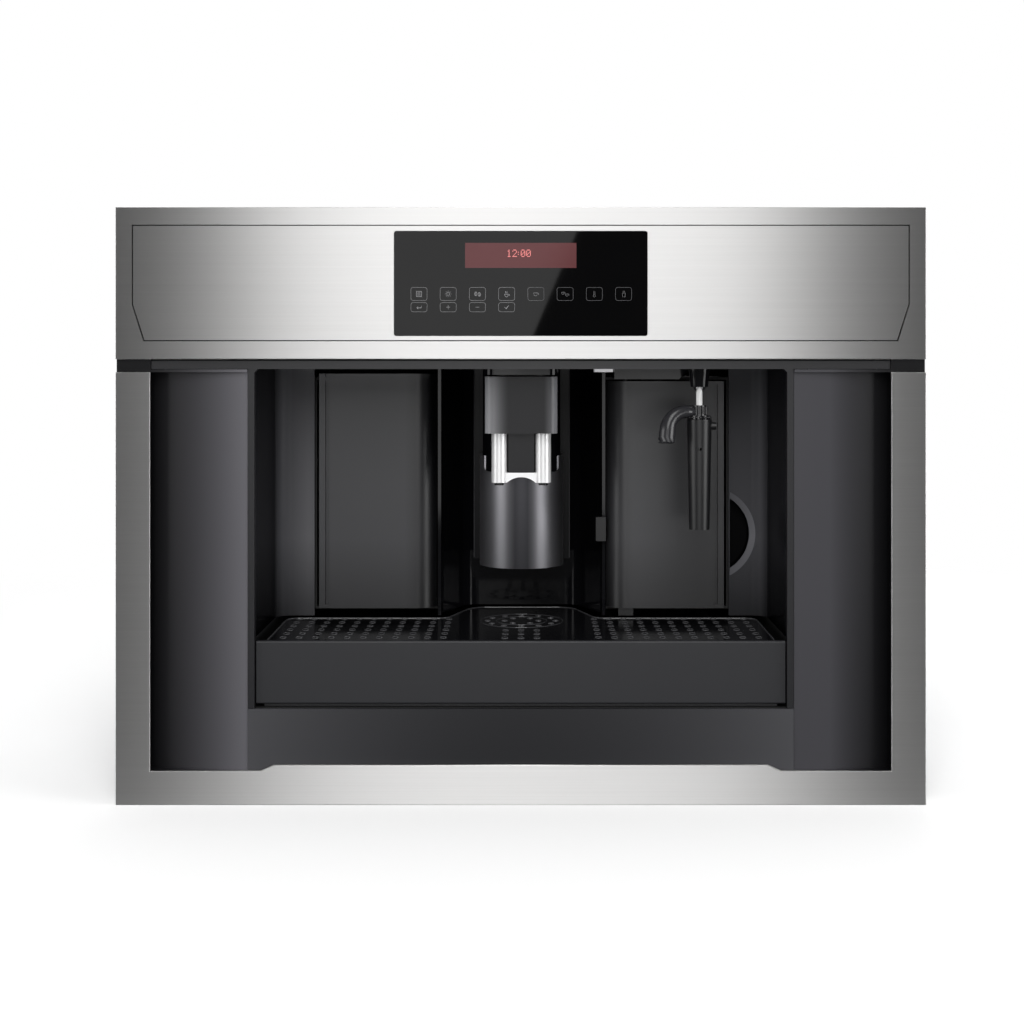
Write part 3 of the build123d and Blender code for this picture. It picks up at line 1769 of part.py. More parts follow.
# ---- brew unit: fixed frame with the upper piston, and the moving chamber ----
chamber_bottom = compartment_floor + chamber_rise
chamber_top = chamber_bottom + brew_chamber_height
piston_bottom = chamber_top + brew_seal_gap
brew_outer = brew_bore + brew_wall
brew_frame_top = housing_top - brew_top_gap
with BuildPart() as brew_frame:
    for rod_x in (brew_left, brew_right):
        upright(rod_x, brew_depth, compartment_floor, brew_frame_top, brew_rod_radius)
    foot_top = compartment_floor + brew_foot_height
    block(
        brew_left - brew_foot_half,
        brew_left + brew_foot_half,
        brew_depth - brew_foot_front,
        brew_depth + brew_foot_back,
        compartment_floor,
        foot_top,
    )
    block(
        brew_right - brew_foot_half,
        brew_right + brew_foot_half,
        brew_depth - brew_foot_front,
        brew_depth + brew_foot_back,
        compartment_floor,
        foot_top,
    )
    block(
        brew_left - brew_foot_half,
        brew_right + brew_foot_half,
        brew_depth - brew_outer,
        brew_depth + brew_outer,
        piston_bottom + piston_height,
        brew_frame_top,
    )
    upright(funnel_x, brew_depth, piston_bottom, piston_bottom + piston_height + 1, brew_bore - running_gap)
    block(
        brew_left - brew_foot_half,
        brew_right + brew_foot_half,
        brew_depth + brew_outer + brew_back_gap,
        brew_depth + brew_foot_back,
        foot_top,
        brew_frame_top,
    )
    block(
        brew_left - brew_foot_half,
        brew_right + brew_foot_half,
        brew_depth,
        brew_depth + brew_foot_back,
        brew_frame_top - brew_beam,
        brew_frame_top,
    )
    upright(
        funnel_x,
        brew_depth + brew_outer + brew_hole_reach,
        compartment_floor,
        brew_frame_top + 1,
        brew_hole_radius,
        mode=Mode.SUBTRACT,
    )
save(brew_frame, "brew_frame")

with BuildPart() as brew_carriage:
    upright(funnel_x, brew_depth, chamber_bottom, chamber_top, brew_outer)
    block(
        brew_left - carriage_half,
        brew_right + carriage_half,
        brew_depth - carriage_half,
        brew_depth + carriage_half,
        chamber_bottom,
        chamber_bottom + carriage_height,
    )
    upright(
        funnel_x,
        brew_depth,
        chamber_bottom + chamber_floor,
        chamber_top + 1,
        brew_bore,
        mode=Mode.SUBTRACT,
    )
    for rod_x in (brew_left, brew_right):
        upright(
            rod_x,
            brew_depth,
            chamber_bottom - 1,
            chamber_top + 1,
            brew_rod_radius + shaft_gap,
            mode=Mode.SUBTRACT,
        )
save(brew_carriage, "brew_carriage")

# ---- inner chassis: an upright wall with the grinder's shelf ----
throat_z = casing_top - hopper_height
grinder_top = throat_z - running_gap
shelf_top = grinder_top - grinder_height
shelf_half = grinder_radius + shelf_margin
chassis_top = housing_top + chassis_rise
with BuildPart() as inner_frame:
    block(-casing_inner, casing_inner, chassis_front, chassis_back, floor_top, chassis_top)
    block(
        -shelf_half,
        shelf_half,
        grinder_depth - shelf_half,
        chassis_front,
        shelf_top - chassis_sheet,
        shelf_top,
    )
    upright(
        0,
        grinder_depth,
        shelf_top - chassis_sheet - 1,
        shelf_top + 1,
        motor_radius + 1,
        mode=Mode.SUBTRACT,
    )
    lying(
        tank_outlet_x,
        chassis_front - 1,
        chassis_back + 1,
        tank_outlet_z,
        tank_spigot_radius + 1,
        mode=Mode.SUBTRACT,
    )
    with BuildSketch(facing(chassis_back + 1)):
        with Locations(*chassis_windows):
            Rectangle(chassis_window_width, chassis_window_height)
    extrude(amount=chassis_sheet + 2, mode=Mode.SUBTRACT)
save(inner_frame, "inner_frame")

# ---- grinder with its burr ----
burr_bottom = shelf_top + burr_rise
with BuildPart() as grinder_body:
    upright(0, grinder_depth, shelf_top, grinder_top, grinder_radius)
    upright(0, grinder_depth, shelf_top - motor_height, shelf_top, motor_radius)
    chute_z = housing_top + running_gap
    block(
        0,
        compartment_inner + chute_reach,
        grinder_depth - chute_half,
        grinder_depth + chute_half,
        chute_z,
        chute_z + chute_height,
    )
    upright(
        0,
        grinder_depth,
        burr_bottom - 2,
        grinder_top + 1,
        grinder_radius - grinder_wall,
        mode=Mode.SUBTRACT,
    )
    upright(
        0,
        grinder_depth,
        shelf_top - burr_shaft_length - 1,
        burr_bottom,
        burr_shaft_radius + shaft_gap,
        mode=Mode.SUBTRACT,
    )
save(grinder_body, "grinder_body")

with BuildPart() as grinder_burr:
    upright(0, grinder_depth, burr_bottom, burr_bottom + burr_height, burr_radius, burr_top_radius)
    upright(0, grinder_depth, shelf_top - burr_shaft_length, burr_bottom, burr_shaft_radius)
    with Locations((0, y_of(grinder_depth), burr_bottom + burr_height / 2)):
        with PolarLocations(burr_radius + burr_flute_radius / 2, burr_flutes):
            Cylinder(burr_flute_radius, burr_height + 2, mode=Mode.SUBTRACT)
save(grinder_burr, "grinder_burr")


# ---- bean hopper, its lid, the grind knob, and the powder funnel with its lid ----
def hopper_loft(inset, mode):
    """The hopper's tapered body, or its inside when inset by the wall."""
    with BuildSketch(Plane.XY.offset(throat_z)) as throat:
        with Locations((0, y_of(grinder_depth))):
            RectangleRounded(hopper_throat - 2 * inset, hopper_throat - 2 * inset, hopper_corner - inset)
    with BuildSketch(Plane.XY.offset(casing_top)) as mouth:
        with Locations((0, y_of(grinder_depth))):
            RectangleRounded(hopper_length - 2 * inset, hopper_width - 2 * inset, hopper_corner - inset)
    loft([throat.sketch, mouth.sketch], mode=mode)


with BuildPart() as bean_hopper:
    hopper_loft(0, Mode.ADD)
    with BuildSketch(Plane.XY.offset(casing_top)):
        with Locations((0, y_of(grinder_depth))):
            RectangleRounded(
                hopper_length + 2 * hopper_flange,
                hopper_width + 2 * hopper_flange,
                flange_corner,
            )
            RectangleRounded(
                hopper_length - 2 * hopper_wall,
                hopper_width - 2 * hopper_wall,
                hopper_corner - hopper_wall,
                mode=Mode.SUBTRACT,
            )
    extrude(amount=hopper_flange_thickness)
    hopper_loft(hopper_wall, Mode.SUBTRACT)
save(bean_hopper, "bean_hopper")

with BuildPart() as bean_lid:
    lid_front = grinder_depth - hopper_width / 2 - lid_margin
    with BuildSketch(Plane.XY.offset(lid_z)) as lid_plan:
        with Locations((0, y_of((lid_front + bean_hinge_depth) / 2))):
            Rectangle(2 * bean_lid_half, bean_hinge_depth - lid_front)
        fillet(lid_plan.vertices().group_by(Axis.Y)[0], lid_corner)
    extrude(amount=lid_thickness)
    knuckle_half = bean_lid_half - lid_notch
    crosswise(-knuckle_half, knuckle_half, bean_hinge_depth, knuckle_z, knuckle_radius)
    for side in (-1, 1):
        corner_x = side * knuckle_half
        corner_out = side * (bean_lid_half + 1)
        block(
            min(corner_x, corner_out),
            max(corner_x, corner_out),
            bean_hinge_depth - lid_notch_depth,
            bean_hinge_depth + lid_notch_depth,
            lid_z - 1,
            knuckle_z + knuckle_radius + 1,
            mode=Mode.SUBTRACT,
        )
    crosswise(
        -bean_lid_half,
        bean_lid_half,
        bean_hinge_depth,
        knuckle_z,
        hinge_pin_radius + shaft_gap,
        mode=Mode.SUBTRACT,
    )
save(bean_lid, "bean_lid")

with BuildPart() as grind_knob:
    upright(knob_x, knob_depth, casing_top + running_gap, casing_top + knob_height, knob_radius)
    upright(knob_x, knob_depth, ceiling_under - knob_shaft_length, casing_top + 1, knob_shaft_radius)
    with Locations((knob_x, y_of(knob_depth), casing_top + knob_height)):
        with PolarLocations(knob_radius + knob_flute_radius / 2, knob_flutes):
            Cylinder(knob_flute_radius, 2 * (knob_height - knob_skirt), mode=Mode.SUBTRACT)
    knob_top = casing_top + knob_height
    block(
        knob_x - knob_mark_half,
        knob_x + knob_mark_half,
        knob_depth - knob_mark_start - knob_mark_length,
        knob_depth - knob_mark_start,
        knob_top - 1,
        knob_top + 1,
        mode=Mode.SUBTRACT,
    )
save(grind_knob, "grind_knob")

with BuildPart() as powder_funnel:
    neck_top = housing_top + funnel_neck_rise
    upright(
        funnel_x,
        funnel_depth,
        casing_top,
        casing_top + hopper_flange_thickness,
        funnel_radius + funnel_flange,
    )
    upright(funnel_x, funnel_depth, neck_top, casing_top, funnel_neck, funnel_radius)
    upright(funnel_x, funnel_depth, housing_top - funnel_neck_drop, neck_top, funnel_neck)
    upright(
        funnel_x,
        funnel_depth,
        neck_top,
        casing_top + 2,
        funnel_neck - funnel_wall,
        funnel_radius - funnel_wall,
        mode=Mode.SUBTRACT,
    )
    upright(
        funnel_x,
        funnel_depth,
        housing_top - funnel_neck_drop - 1,
        neck_top + 1,
        funnel_neck - funnel_wall,
        mode=Mode.SUBTRACT,
    )
save(powder_funnel, "powder_funnel")

with BuildPart() as funnel_lid:
    with BuildSketch(Plane.XY.offset(lid_z)):
        with Locations((funnel_x, y_of(funnel_depth))):
            Circle(funnel_lid_radius)
        with Locations((funnel_x, y_of((funnel_depth + funnel_hinge_depth) / 2))):
            Rectangle(2 * funnel_lid_half, funnel_hinge_depth - funnel_depth)
    extrude(amount=lid_thickness)
    crosswise(
        funnel_x - funnel_lid_half,
        funnel_x + funnel_lid_half,
        funnel_hinge_depth,
        knuckle_z,
        knuckle_radius,
    )
    crosswise(
        funnel_x - funnel_lid_half - 1,
        funnel_x + funnel_lid_half + 1,
        funnel_hinge_depth,
        knuckle_z,
        hinge_pin_radius + shaft_gap,
        mode=Mode.SUBTRACT,
    )
save(funnel_lid, "funnel_lid")

# ---- boiler, pump, hoses and power board behind the chassis wall ----
with BuildPart() as boiler:
    boiler_back = chassis_back + boiler_thickness
    boiler_half = boiler_width / 2
    block(-boiler_half, boiler_half, chassis_back, boiler_back, boiler_rise, boiler_rise + boiler_height)
    rib_run = boiler_width - 2 * boiler_rib_inset
    for rib in range(boiler_ribs):
        rib_x = -rib_run / 2 + rib * rib_run / (boiler_ribs - 1)
        block(
            rib_x - boiler_rib_half,
            rib_x + boiler_rib_half,
            boiler_back,
            boiler_back + boiler_rib_depth,
            boiler_rise + boiler_rib_end,
            boiler_rise + boiler_height - boiler_rib_end,
        )
save(boiler, "boiler")

pump_z = floor_top + pump_radius + pump_rise
pump_end = pump_length / 2 + pump_stub
with BuildPart() as water_pump:
    crosswise(-pump_length / 2, pump_length / 2, pump_depth, pump_z, pump_radius)
    crosswise(-pump_end, pump_end, pump_depth, pump_z, pump_stub_radius)
    block(
        -coil_half,
        coil_half,
        pump_depth - pump_radius,
        pump_depth + pump_radius,
        pump_z - coil_half_height,
        pump_z + coil_half_height,
    )
    for side in (-1, 1):
        upright(side * pump_foot_x, pump_depth, floor_top, pump_z - pump_radius + 2, pump_foot_radius)
save(water_pump, "water_pump")

with BuildPart() as water_hoses:
    suction_start = (tank_outlet_x, y_of(housing_back + spigot_tail), tank_outlet_z)
    hose_top = boiler_rise - hose_drop
    hose_x = boiler_half - hose_inset
    hose_y = y_of(chassis_back + boiler_thickness / 2)
    with BuildLine() as suction_path:
        FilletPolyline(
            suction_start,
            (tank_outlet_x, y_of(pump_depth), tank_outlet_z),
            (tank_outlet_x, y_of(pump_depth), pump_z),
            (-pump_end, y_of(pump_depth), pump_z),
            radius=hose_bend,
        )
    with BuildSketch(Plane(origin=suction_path.line @ 0, z_dir=suction_path.line % 0)):
        Circle(hose_radius)
    sweep(path=suction_path.wire())
    with BuildLine() as pressure_path:
        FilletPolyline(
            (pump_end, y_of(pump_depth), pump_z),
            (pump_end + hose_reach, y_of(pump_depth), pump_z),
            (pump_end + hose_reach, y_of(pump_depth), hose_top),
            (hose_x, hose_y, hose_top),
            (hose_x, hose_y, boiler_rise),
            radius=hose_bend_small,
        )
    with BuildSketch(Plane(origin=pressure_path.line @ 0, z_dir=pressure_path.line % 0)):
        Circle(hose_radius)
    sweep(path=pressure_path.wire())
save(water_hoses, "water_hoses")

with BuildPart() as power_board:
    board_right = board_left + power_width
    board_top = board_bottom + power_height
    board_front = chassis_back + standoff_height
    part_front = board_front + board_thickness
    block(board_left, board_right, board_front, part_front, board_bottom, board_top)
    for stand_x in (board_left + standoff_inset, board_right - standoff_inset):
        for stand_z in (board_bottom + standoff_inset, board_top - standoff_inset):
            lying(stand_x, chassis_back, board_front, stand_z, standoff_radius)
    for left, low, width, height, depth in board_parts:
        part_x = board_left + left
        part_z = board_bottom + low
        block(part_x, part_x + width, part_front, part_front + depth, part_z, part_z + height)
    for relay in range(relays):
        relay_x = board_left + relay_start + relay * relay_pitch
        relay_z = board_top - relay_drop
        block(
            relay_x,
            relay_x + relay_width,
            part_front,
            part_front + relay_depth,
            relay_z,
            relay_z + relay_height,
        )
    for can in range(capacitors):
        can_x = board_left + can_start + can * can_pitch
        lying(can_x, part_front, part_front + can_length, board_bottom + can_rise, can_radius)
save(power_board, "power_board")

# ---- mains inlet with its rocker switch ----
module_back = overall_depth
socket_front = overall_depth - inlet_recess - socket_floor
with BuildPart() as mains_inlet:
    block(
        inlet_x - module_half + inlet_lap + seam,
        inlet_x + module_half - inlet_lap - seam,
        socket_front,
        module_back,
        module_low + inlet_lap + seam,
        module_high - inlet_lap - seam,
    )
    with BuildSketch(facing(overall_depth - inlet_recess)) as socket_plan:
        with Locations((inlet_x, inlet_z)):
            Rectangle(inlet_width - 2 * socket_wall, inlet_height - 2 * socket_wall)
        chamfer(socket_plan.vertices().group_by(Axis.Z)[-1], socket_chamfer)
    extrude(amount=-inlet_recess - 1, mode=Mode.SUBTRACT)
    for pin_x, pin_z in socket_pins:
        block(
            inlet_x + pin_x - socket_pin_half,
            inlet_x + pin_x + socket_pin_half,
            overall_depth - inlet_recess - 1,
            overall_depth - socket_pin_recess,
            inlet_z + pin_z - 2 * socket_pin_half,
            inlet_z + pin_z + 2 * socket_pin_half,
        )
    block(
        inlet_x - rocker_width / 2 - running_gap,
        inlet_x + rocker_width / 2 + running_gap,
        overall_depth - rocker_depth - rocker_room,
        overall_depth + 1,
        rocker_z - rocker_height / 2 - rocker_gap,
        rocker_z + rocker_height / 2 + rocker_gap,
        mode=Mode.SUBTRACT,
    )
    rocker_axis_depth = overall_depth - rocker_depth
    rocker_pin_half = rocker_width / 2 + rocker_pin_reach
    crosswise(
        inlet_x - rocker_pin_half - running_gap,
        inlet_x + rocker_pin_half + running_gap,
        rocker_axis_depth,
        rocker_z,
        rocker_pin_radius + shaft_gap,
        mode=Mode.SUBTRACT,
    )
save(mains_inlet, "mains_inlet")

rocker_face_depth = overall_depth - rocker_sink
with BuildPart() as main_switch:
    with BuildSketch(Plane.YZ.offset(inlet_x - rocker_width / 2)):
        with BuildLine():
            Polyline(
                (y_of(rocker_axis_depth), rocker_z - rocker_height / 2 + rocker_taper),
                (y_of(rocker_face_depth), rocker_z - rocker_height / 2),
                (y_of(rocker_face_depth - rocker_dip), rocker_z),
                (y_of(rocker_face_depth), rocker_z + rocker_height / 2),
                (y_of(rocker_axis_depth), rocker_z + rocker_height / 2 - rocker_taper),
                close=True,
            )
        make_face()
    extrude(amount=rocker_width)
    crosswise(
        inlet_x - rocker_pin_half,
        inlet_x + rocker_pin_half,
        rocker_axis_depth,
        rocker_z,
        rocker_pin_radius,
    )
save(main_switch, "main_switch")
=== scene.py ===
import math
import bmesh
import bpy
from mathutils import Matrix, Vector


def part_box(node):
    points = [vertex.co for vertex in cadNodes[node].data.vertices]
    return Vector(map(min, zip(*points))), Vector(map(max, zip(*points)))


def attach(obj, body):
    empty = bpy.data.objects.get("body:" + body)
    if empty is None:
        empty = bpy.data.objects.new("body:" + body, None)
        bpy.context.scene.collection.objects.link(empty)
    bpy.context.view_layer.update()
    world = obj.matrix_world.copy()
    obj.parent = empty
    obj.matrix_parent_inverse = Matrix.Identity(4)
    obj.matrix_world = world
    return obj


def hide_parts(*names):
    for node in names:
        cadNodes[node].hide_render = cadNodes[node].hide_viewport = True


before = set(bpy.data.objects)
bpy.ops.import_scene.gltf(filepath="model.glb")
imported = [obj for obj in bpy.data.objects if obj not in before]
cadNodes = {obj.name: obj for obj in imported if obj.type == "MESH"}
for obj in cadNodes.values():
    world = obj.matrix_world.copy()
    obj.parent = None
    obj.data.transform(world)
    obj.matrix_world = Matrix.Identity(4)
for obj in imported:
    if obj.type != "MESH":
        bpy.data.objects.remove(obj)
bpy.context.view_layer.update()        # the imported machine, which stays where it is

# A built-in coffee machine in a plain white studio. Its front looks towards -Y. The pieces and the finishes
# are in millimetres, with depths measured back from the steel front, and the studio is in metres.

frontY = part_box("front_frame")[0].y
print("frame loaded:", len(cadNodes), "nodes")


def mm(value):
    return value / 1000


def atDepth(depth):
    return frontY + mm(depth)


def shaded(colour, factor):
    return tuple(value * factor for value in colour)


class Wire:        # one socket of a shader, which adds Math nodes when it stands in a sum
    def __init__(self, graph, socket):
        self.graph = graph
        self.socket = socket

    def maths(self, operation, first, second=0.0, clamp=False):
        return self.graph.add("ShaderNodeMath", {"operation": operation, "use_clamp": clamp},
                              {0: first, 1: second})

    def __add__(self, other):
        return self.maths("ADD", self, other)

    def __radd__(self, other):
        return self.maths("ADD", other, self)

    def __sub__(self, other):
        return self.maths("SUBTRACT", self, other)

    def __rsub__(self, other):
        return self.maths("SUBTRACT", other, self)

    def __mul__(self, other):
        return self.maths("MULTIPLY", self, other)

    def __rmul__(self, other):
        return self.maths("MULTIPLY", other, self)

    def __truediv__(self, other):
        return self.maths("DIVIDE", self, other)

    def __rtruediv__(self, other):
        return self.maths("DIVIDE", other, self)

    def __pow__(self, other):
        return self.maths("POWER", self, other)

    def __rpow__(self, other):
        return self.maths("POWER", other, self)

    def __neg__(self):
        return self.maths("MULTIPLY", self, -1.0)

    def __abs__(self):
        return self.maths("ABSOLUTE", self)

    def larger(self, other):
        return self.maths("MAXIMUM", self, other)

    def limited(self):                       # held between 0 and 1
        return self.maths("ADD", self, 0.0, clamp=True)

    def ramp(self, start, full):             # 0 up to the start, 1 from the full value on
        return ((self - start) / (full - start)).limited()


class Graph:       # the node tree of a material or the world
    def __init__(self, owner):
        owner.use_nodes = True
        self.tree = owner.node_tree
        self.tree.nodes.clear()

    def add(self, kind, settings=None, inputs=None, output=0):
        node = self.tree.nodes.new(kind)
        for key, value in (settings or {}).items():
            setattr(node, key, value)
        for key, value in (inputs or {}).items():
            self.feed(node.inputs[key], value)
        return Wire(self, node.outputs[output]) if node.outputs else None

    def feed(self, socket, value):
        if isinstance(value, Wire):
            self.tree.links.new(value.socket, socket)
        elif isinstance(value, tuple) and len(value) == 3 and socket.type == "RGBA":
            socket.default_value = (*value, 1)
        else:
            socket.default_value = value

    def place(self, scale=(1, 1, 1)):        # object coordinates, stretched
        coordinates = self.add("ShaderNodeTexCoord", output="Object")
        return self.add("ShaderNodeMapping", {}, {"Vector": coordinates, "Scale": scale})

    def noise(self, scale, detail=2, stretch=(1, 1, 1)):
        return self.add("ShaderNodeTexNoise", {},
                        {"Vector": self.place(stretch), "Scale": scale, "Detail": detail})

    def moulded(self, grain, marks=14):      # a plastic's grain, and the marks of handling on it
        return self.noise(grain), self.noise(marks, 3)

    def axis(self, name):                    # one coordinate in metres
        coordinates = self.add("ShaderNodeTexCoord", output="Object")
        return self.add("ShaderNodeSeparateXYZ", {}, {0: coordinates}, output=name)

    def millimetres(self, name):
        return self.axis(name) * 1000

    def blend(self, factor, first, second):  # between two colours
        return self.add("ShaderNodeMix", {"data_type": "RGBA"},
                        {"Factor": factor, 6: first, 7: second}, output=2)

    def bump(self, height, strength, relief):
        return self.add("ShaderNodeBump", {},
                        {"Height": height, "Strength": strength, "Distance": mm(relief)})

    def surface(self, **inputs):             # the shader itself
        named = {key.replace("_", " "): value for key, value in inputs.items()}
        shader = self.add("ShaderNodeBsdfPrincipled", {}, named)
        self.add("ShaderNodeOutputMaterial", {}, {"Surface": shader})


def newMaterial(name):
    material = bpy.data.materials.new(name)
    return material, Graph(material)


black = (0.0, 0.0, 0.0)
white = (1.0, 1.0, 1.0)
plasticRelief = 0.08        # the height of a moulded grain
metalRelief = 0.05

# lowerColour and lowerDark make a lit copy of the steel: the lower frame's steel is painted paler, as painted
# light.
steel = {
    "colour": (0.66, 0.655, 0.65), "dark": (0.56, 0.556, 0.552), "lowerColour": (0.76, 0.755, 0.75),
    "lowerDark": (0.65, 0.645, 0.64), "roughness": 0.40, "spread": 0.06, "anisotropy": 1.0, "turn": 0.25,
    "grainLength": 9, "grainWidth": 2600, "broader": 6, "broadShare": 0.35, "bump": 0.10,
}


def brushedSteel(name, colour, dark):
    # Steel that is brushed from side to side, with a fine grain and a broad one.
    material, graph = newMaterial(name)
    stretch = (steel["grainLength"], steel["grainWidth"], steel["grainWidth"])
    fine = graph.noise(1, 3, stretch)
    broad = graph.noise(1, 2, tuple(value / steel["broader"] for value in stretch))
    grain = fine * (1 - steel["broadShare"]) + broad * steel["broadShare"]
    graph.surface(
        Base_Color=graph.blend(grain, dark, colour),
        Metallic=1.0,
        Roughness=grain * steel["spread"] + (steel["roughness"] - steel["spread"] / 2),
        Anisotropic=steel["anisotropy"],
        Anisotropic_Rotation=steel["turn"],
        Normal=graph.bump(grain, steel["bump"], metalRelief))
    return material


sheet = {"shade": 0.86, "spangle": 45, "smudge": 9, "spread": 0.16, "texture": 900, "bump": 0.06}


def sheetMetal(name, colour, roughness, metallic=0.85):
    material, graph = newMaterial(name)
    graph.surface(
        Base_Color=graph.blend(graph.noise(sheet["spangle"], 3), shaded(colour, sheet["shade"]), colour),
        Metallic=metallic,
        Roughness=graph.noise(sheet["smudge"]) * sheet["spread"] + (roughness - sheet["spread"] / 2),
        Normal=graph.bump(graph.noise(sheet["texture"]), sheet["bump"], metalRelief))
    return material


satin = {"dark": 0.88, "light": 1.12, "spread": 0.06}


def satinPlastic(name, colour, roughness, grain=1400, bump=0.12):
    material, graph = newMaterial(name)
    texture, handled = graph.moulded(grain)
    graph.surface(
        Base_Color=graph.blend(texture, shaded(colour, satin["dark"]), shaded(colour, satin["light"])),
        Roughness=handled * satin["spread"] + (roughness - satin["spread"] / 2),
        Normal=graph.bump(texture, bump, plasticRelief))
    return material


gloss = {"light": 1.15, "dust": 30, "spread": 0.05, "polish": 0.02, "ior": 1.5, "ripple": 160, "bump": 0.03,
         "relief": 0.1}


def glossPlastic(name, colour, roughness, shine):
    material, graph = newMaterial(name)
    dust = graph.noise(gloss["dust"], 3)
    graph.surface(
        Base_Color=graph.blend(dust, colour, shaded(colour, gloss["light"])),
        Roughness=dust * gloss["spread"] + (roughness - gloss["polish"]),
        IOR=gloss["ior"],
        Specular_IOR_Level=shine,
        Normal=graph.bump(graph.noise(gloss["ripple"], 1), gloss["bump"], gloss["relief"]))
    return material


chrome = {"dark": (0.90, 0.90, 0.905), "light": (0.95, 0.95, 0.955), "metallic": 0.25, "roughness": 0.26,
          "spread": 0.06, "haze": 55}


def satinChrome():
    material, graph = newMaterial("satinChrome")
    haze = graph.noise(chrome["haze"], 3)
    graph.surface(
        Base_Color=graph.blend(haze, chrome["dark"], chrome["light"]),
        Metallic=chrome["metallic"],
        Roughness=haze * chrome["spread"] + chrome["roughness"])
    return material


drum = {
    "middle": (0.052, 0.052, 0.057), "left": (0.34, 0.337, 0.36), "right": (0.20, 0.199, 0.212),
    "start": 5.0, "full": 13.0, "leftFull": 29.0, "roughness": 0.30, "spread": 0.05, "haze": 30,
    "anisotropy": 0.7, "blasted": 2600, "bump": 0.04,
}


def drumMetal():
    # Satin metal with painted reflections: the base colour is darker down its middle and palest at its left
    # side.
    material, graph = newMaterial("drumMetal")
    x = graph.millimetres("X")
    outward = graph.blend(abs(x).ramp(drum["start"], drum["full"]), drum["middle"], drum["right"])
    graph.surface(
        Base_Color=graph.blend((-x).ramp(drum["full"], drum["leftFull"]), outward, drum["left"]),
        Metallic=1.0,
        Roughness=graph.noise(drum["haze"], 3) * drum["spread"] + drum["roughness"],
        Anisotropic=drum["anisotropy"],
        Normal=graph.bump(graph.noise(drum["blasted"]), drum["bump"], metalRelief))
    return material


pipe = {
    "white": (0.78, 0.78, 0.78), "black": (0.008, 0.008, 0.009), "light": 1.3, "whiteStart": 292.7,
    "whiteFull": 292.825, "roughness": 0.10, "whiteRougher": 0.12, "spread": 0.04, "dust": 60,
}


def pipeCoat():
    # The wand's pipe is white over its nut. The nut, its ring and what is under them are glossy black.
    material, graph = newMaterial("pipeCoat")
    dust = graph.noise(pipe["dust"], 3)
    over = graph.millimetres("Z").ramp(pipe["whiteStart"], pipe["whiteFull"])
    dark = graph.blend(dust, pipe["black"], shaded(pipe["black"], pipe["light"]))
    graph.surface(
        Base_Color=graph.blend(over, dark, pipe["white"]),
        Roughness=over * pipe["whiteRougher"] + dust * pipe["spread"] + pipe["roughness"])
    return material


lowShade = {"foot": 122.0, "full": 184.0, "share": 0.70}


def shadedLow(graph, colour):
    # Painted shade: the bay's sides are darker near the tray.
    low = 1 - graph.millimetres("Z").ramp(lowShade["foot"], lowShade["full"])
    return graph.blend(low * lowShade["share"], colour, black)


# The wall's side and recess colours are painted shade, and its rim and pale colours are painted light.
wall = {
    "side": (0.003, 0.003, 0.004), "face": (0.080, 0.080, 0.087), "pale": (0.165, 0.164, 0.174),
    "rim": (0.18, 0.18, 0.195), "recess": (0.003, 0.003, 0.0035), "sideEnd": 99.0, "faceStart": 112.0,
    "rimStart": 114.1, "rimFull": 114.225, "recessStart": 116.9, "recessFull": 117.1, "paleStart": -192.0,
    "paleFull": -172.0, "roughness": 0.22, "faceRougher": 0.05, "recessRougher": 0.3, "spread": 0.06,
    "ior": 1.12, "grain": 1800, "grainDark": 0.9, "bump": 0.08,
}


def wallPlastic():
    # One plastic with painted light and shade: the polished side is painted near black as shade, the narrow
    # back face is grained and lighter, and paler still towards the middle on the left wall as painted light;
    # the rim round the finger recess is painted pale as a highlight, and the matt recess inside it is painted
    # black as shade.
    material, graph = newMaterial("wallPlastic")
    texture, handled = graph.moulded(wall["grain"])
    x = graph.millimetres("X")
    depth = (graph.axis("Y") - frontY) * 1000
    back = depth.ramp(wall["sideEnd"], wall["faceStart"])
    rim = depth.ramp(wall["rimStart"], wall["rimFull"])
    inside = depth.ramp(wall["recessStart"], wall["recessFull"])
    inward = x.ramp(wall["paleStart"], wall["paleFull"]) * (-x).limited()        # on the left wall alone
    grained = graph.blend(texture, shaded(wall["face"], wall["grainDark"]), wall["face"])
    grained = graph.blend(inward, grained, wall["pale"])
    outer = graph.blend(rim, graph.blend(back, wall["side"], grained), wall["rim"])
    rougher = inside * wall["recessRougher"] + back * wall["faceRougher"]
    graph.surface(
        Base_Color=shadedLow(graph, graph.blend(inside, outer, wall["recess"])),
        Roughness=handled * wall["spread"] + rougher + wall["roughness"],
        IOR=wall["ior"],
        Normal=graph.bump(texture, wall["bump"], plasticRelief))
    return material


band = {
    "middle": (0.0115, 0.0117, 0.0140), "ends": (0.060, 0.060, 0.066), "half": 201.0, "power": 2,
    "roughness": 0.34, "spread": 0.05, "marks": 12, "grain": 1500, "grainShare": 0.06, "bump": 0.12,
}


def bandPlastic():
    # The band under the tray is painted a little paler towards both of its ends, as painted reflections.
    material, graph = newMaterial("bandPlastic")
    texture, handled = graph.moulded(band["grain"], band["marks"])
    outward = abs(graph.millimetres("X")).ramp(0, band["half"]) ** band["power"]
    mixed = outward * (1 - band["grainShare"]) + texture * band["grainShare"]
    graph.surface(
        Base_Color=graph.blend(mixed, band["middle"], band["ends"]),
        Roughness=handled * band["spread"] + band["roughness"],
        Normal=graph.bump(texture, band["bump"], plasticRelief))
    return material


grip = {
    "outer": (0.0015, 0.0015, 0.002), "dark": 286.0, "roughness": 0.36, "spread": 0.05, "marks": 12,
    "shine": 0.25, "grain": 2200, "grainDark": 0.95, "bump": 0.05,
    "left": {"inner": (0.128, 0.125, 0.139), "full": 201.3, "power": 1.9},
    "right": {"inner": (0.055, 0.054, 0.061), "full": 228.0, "power": 2.2},
}


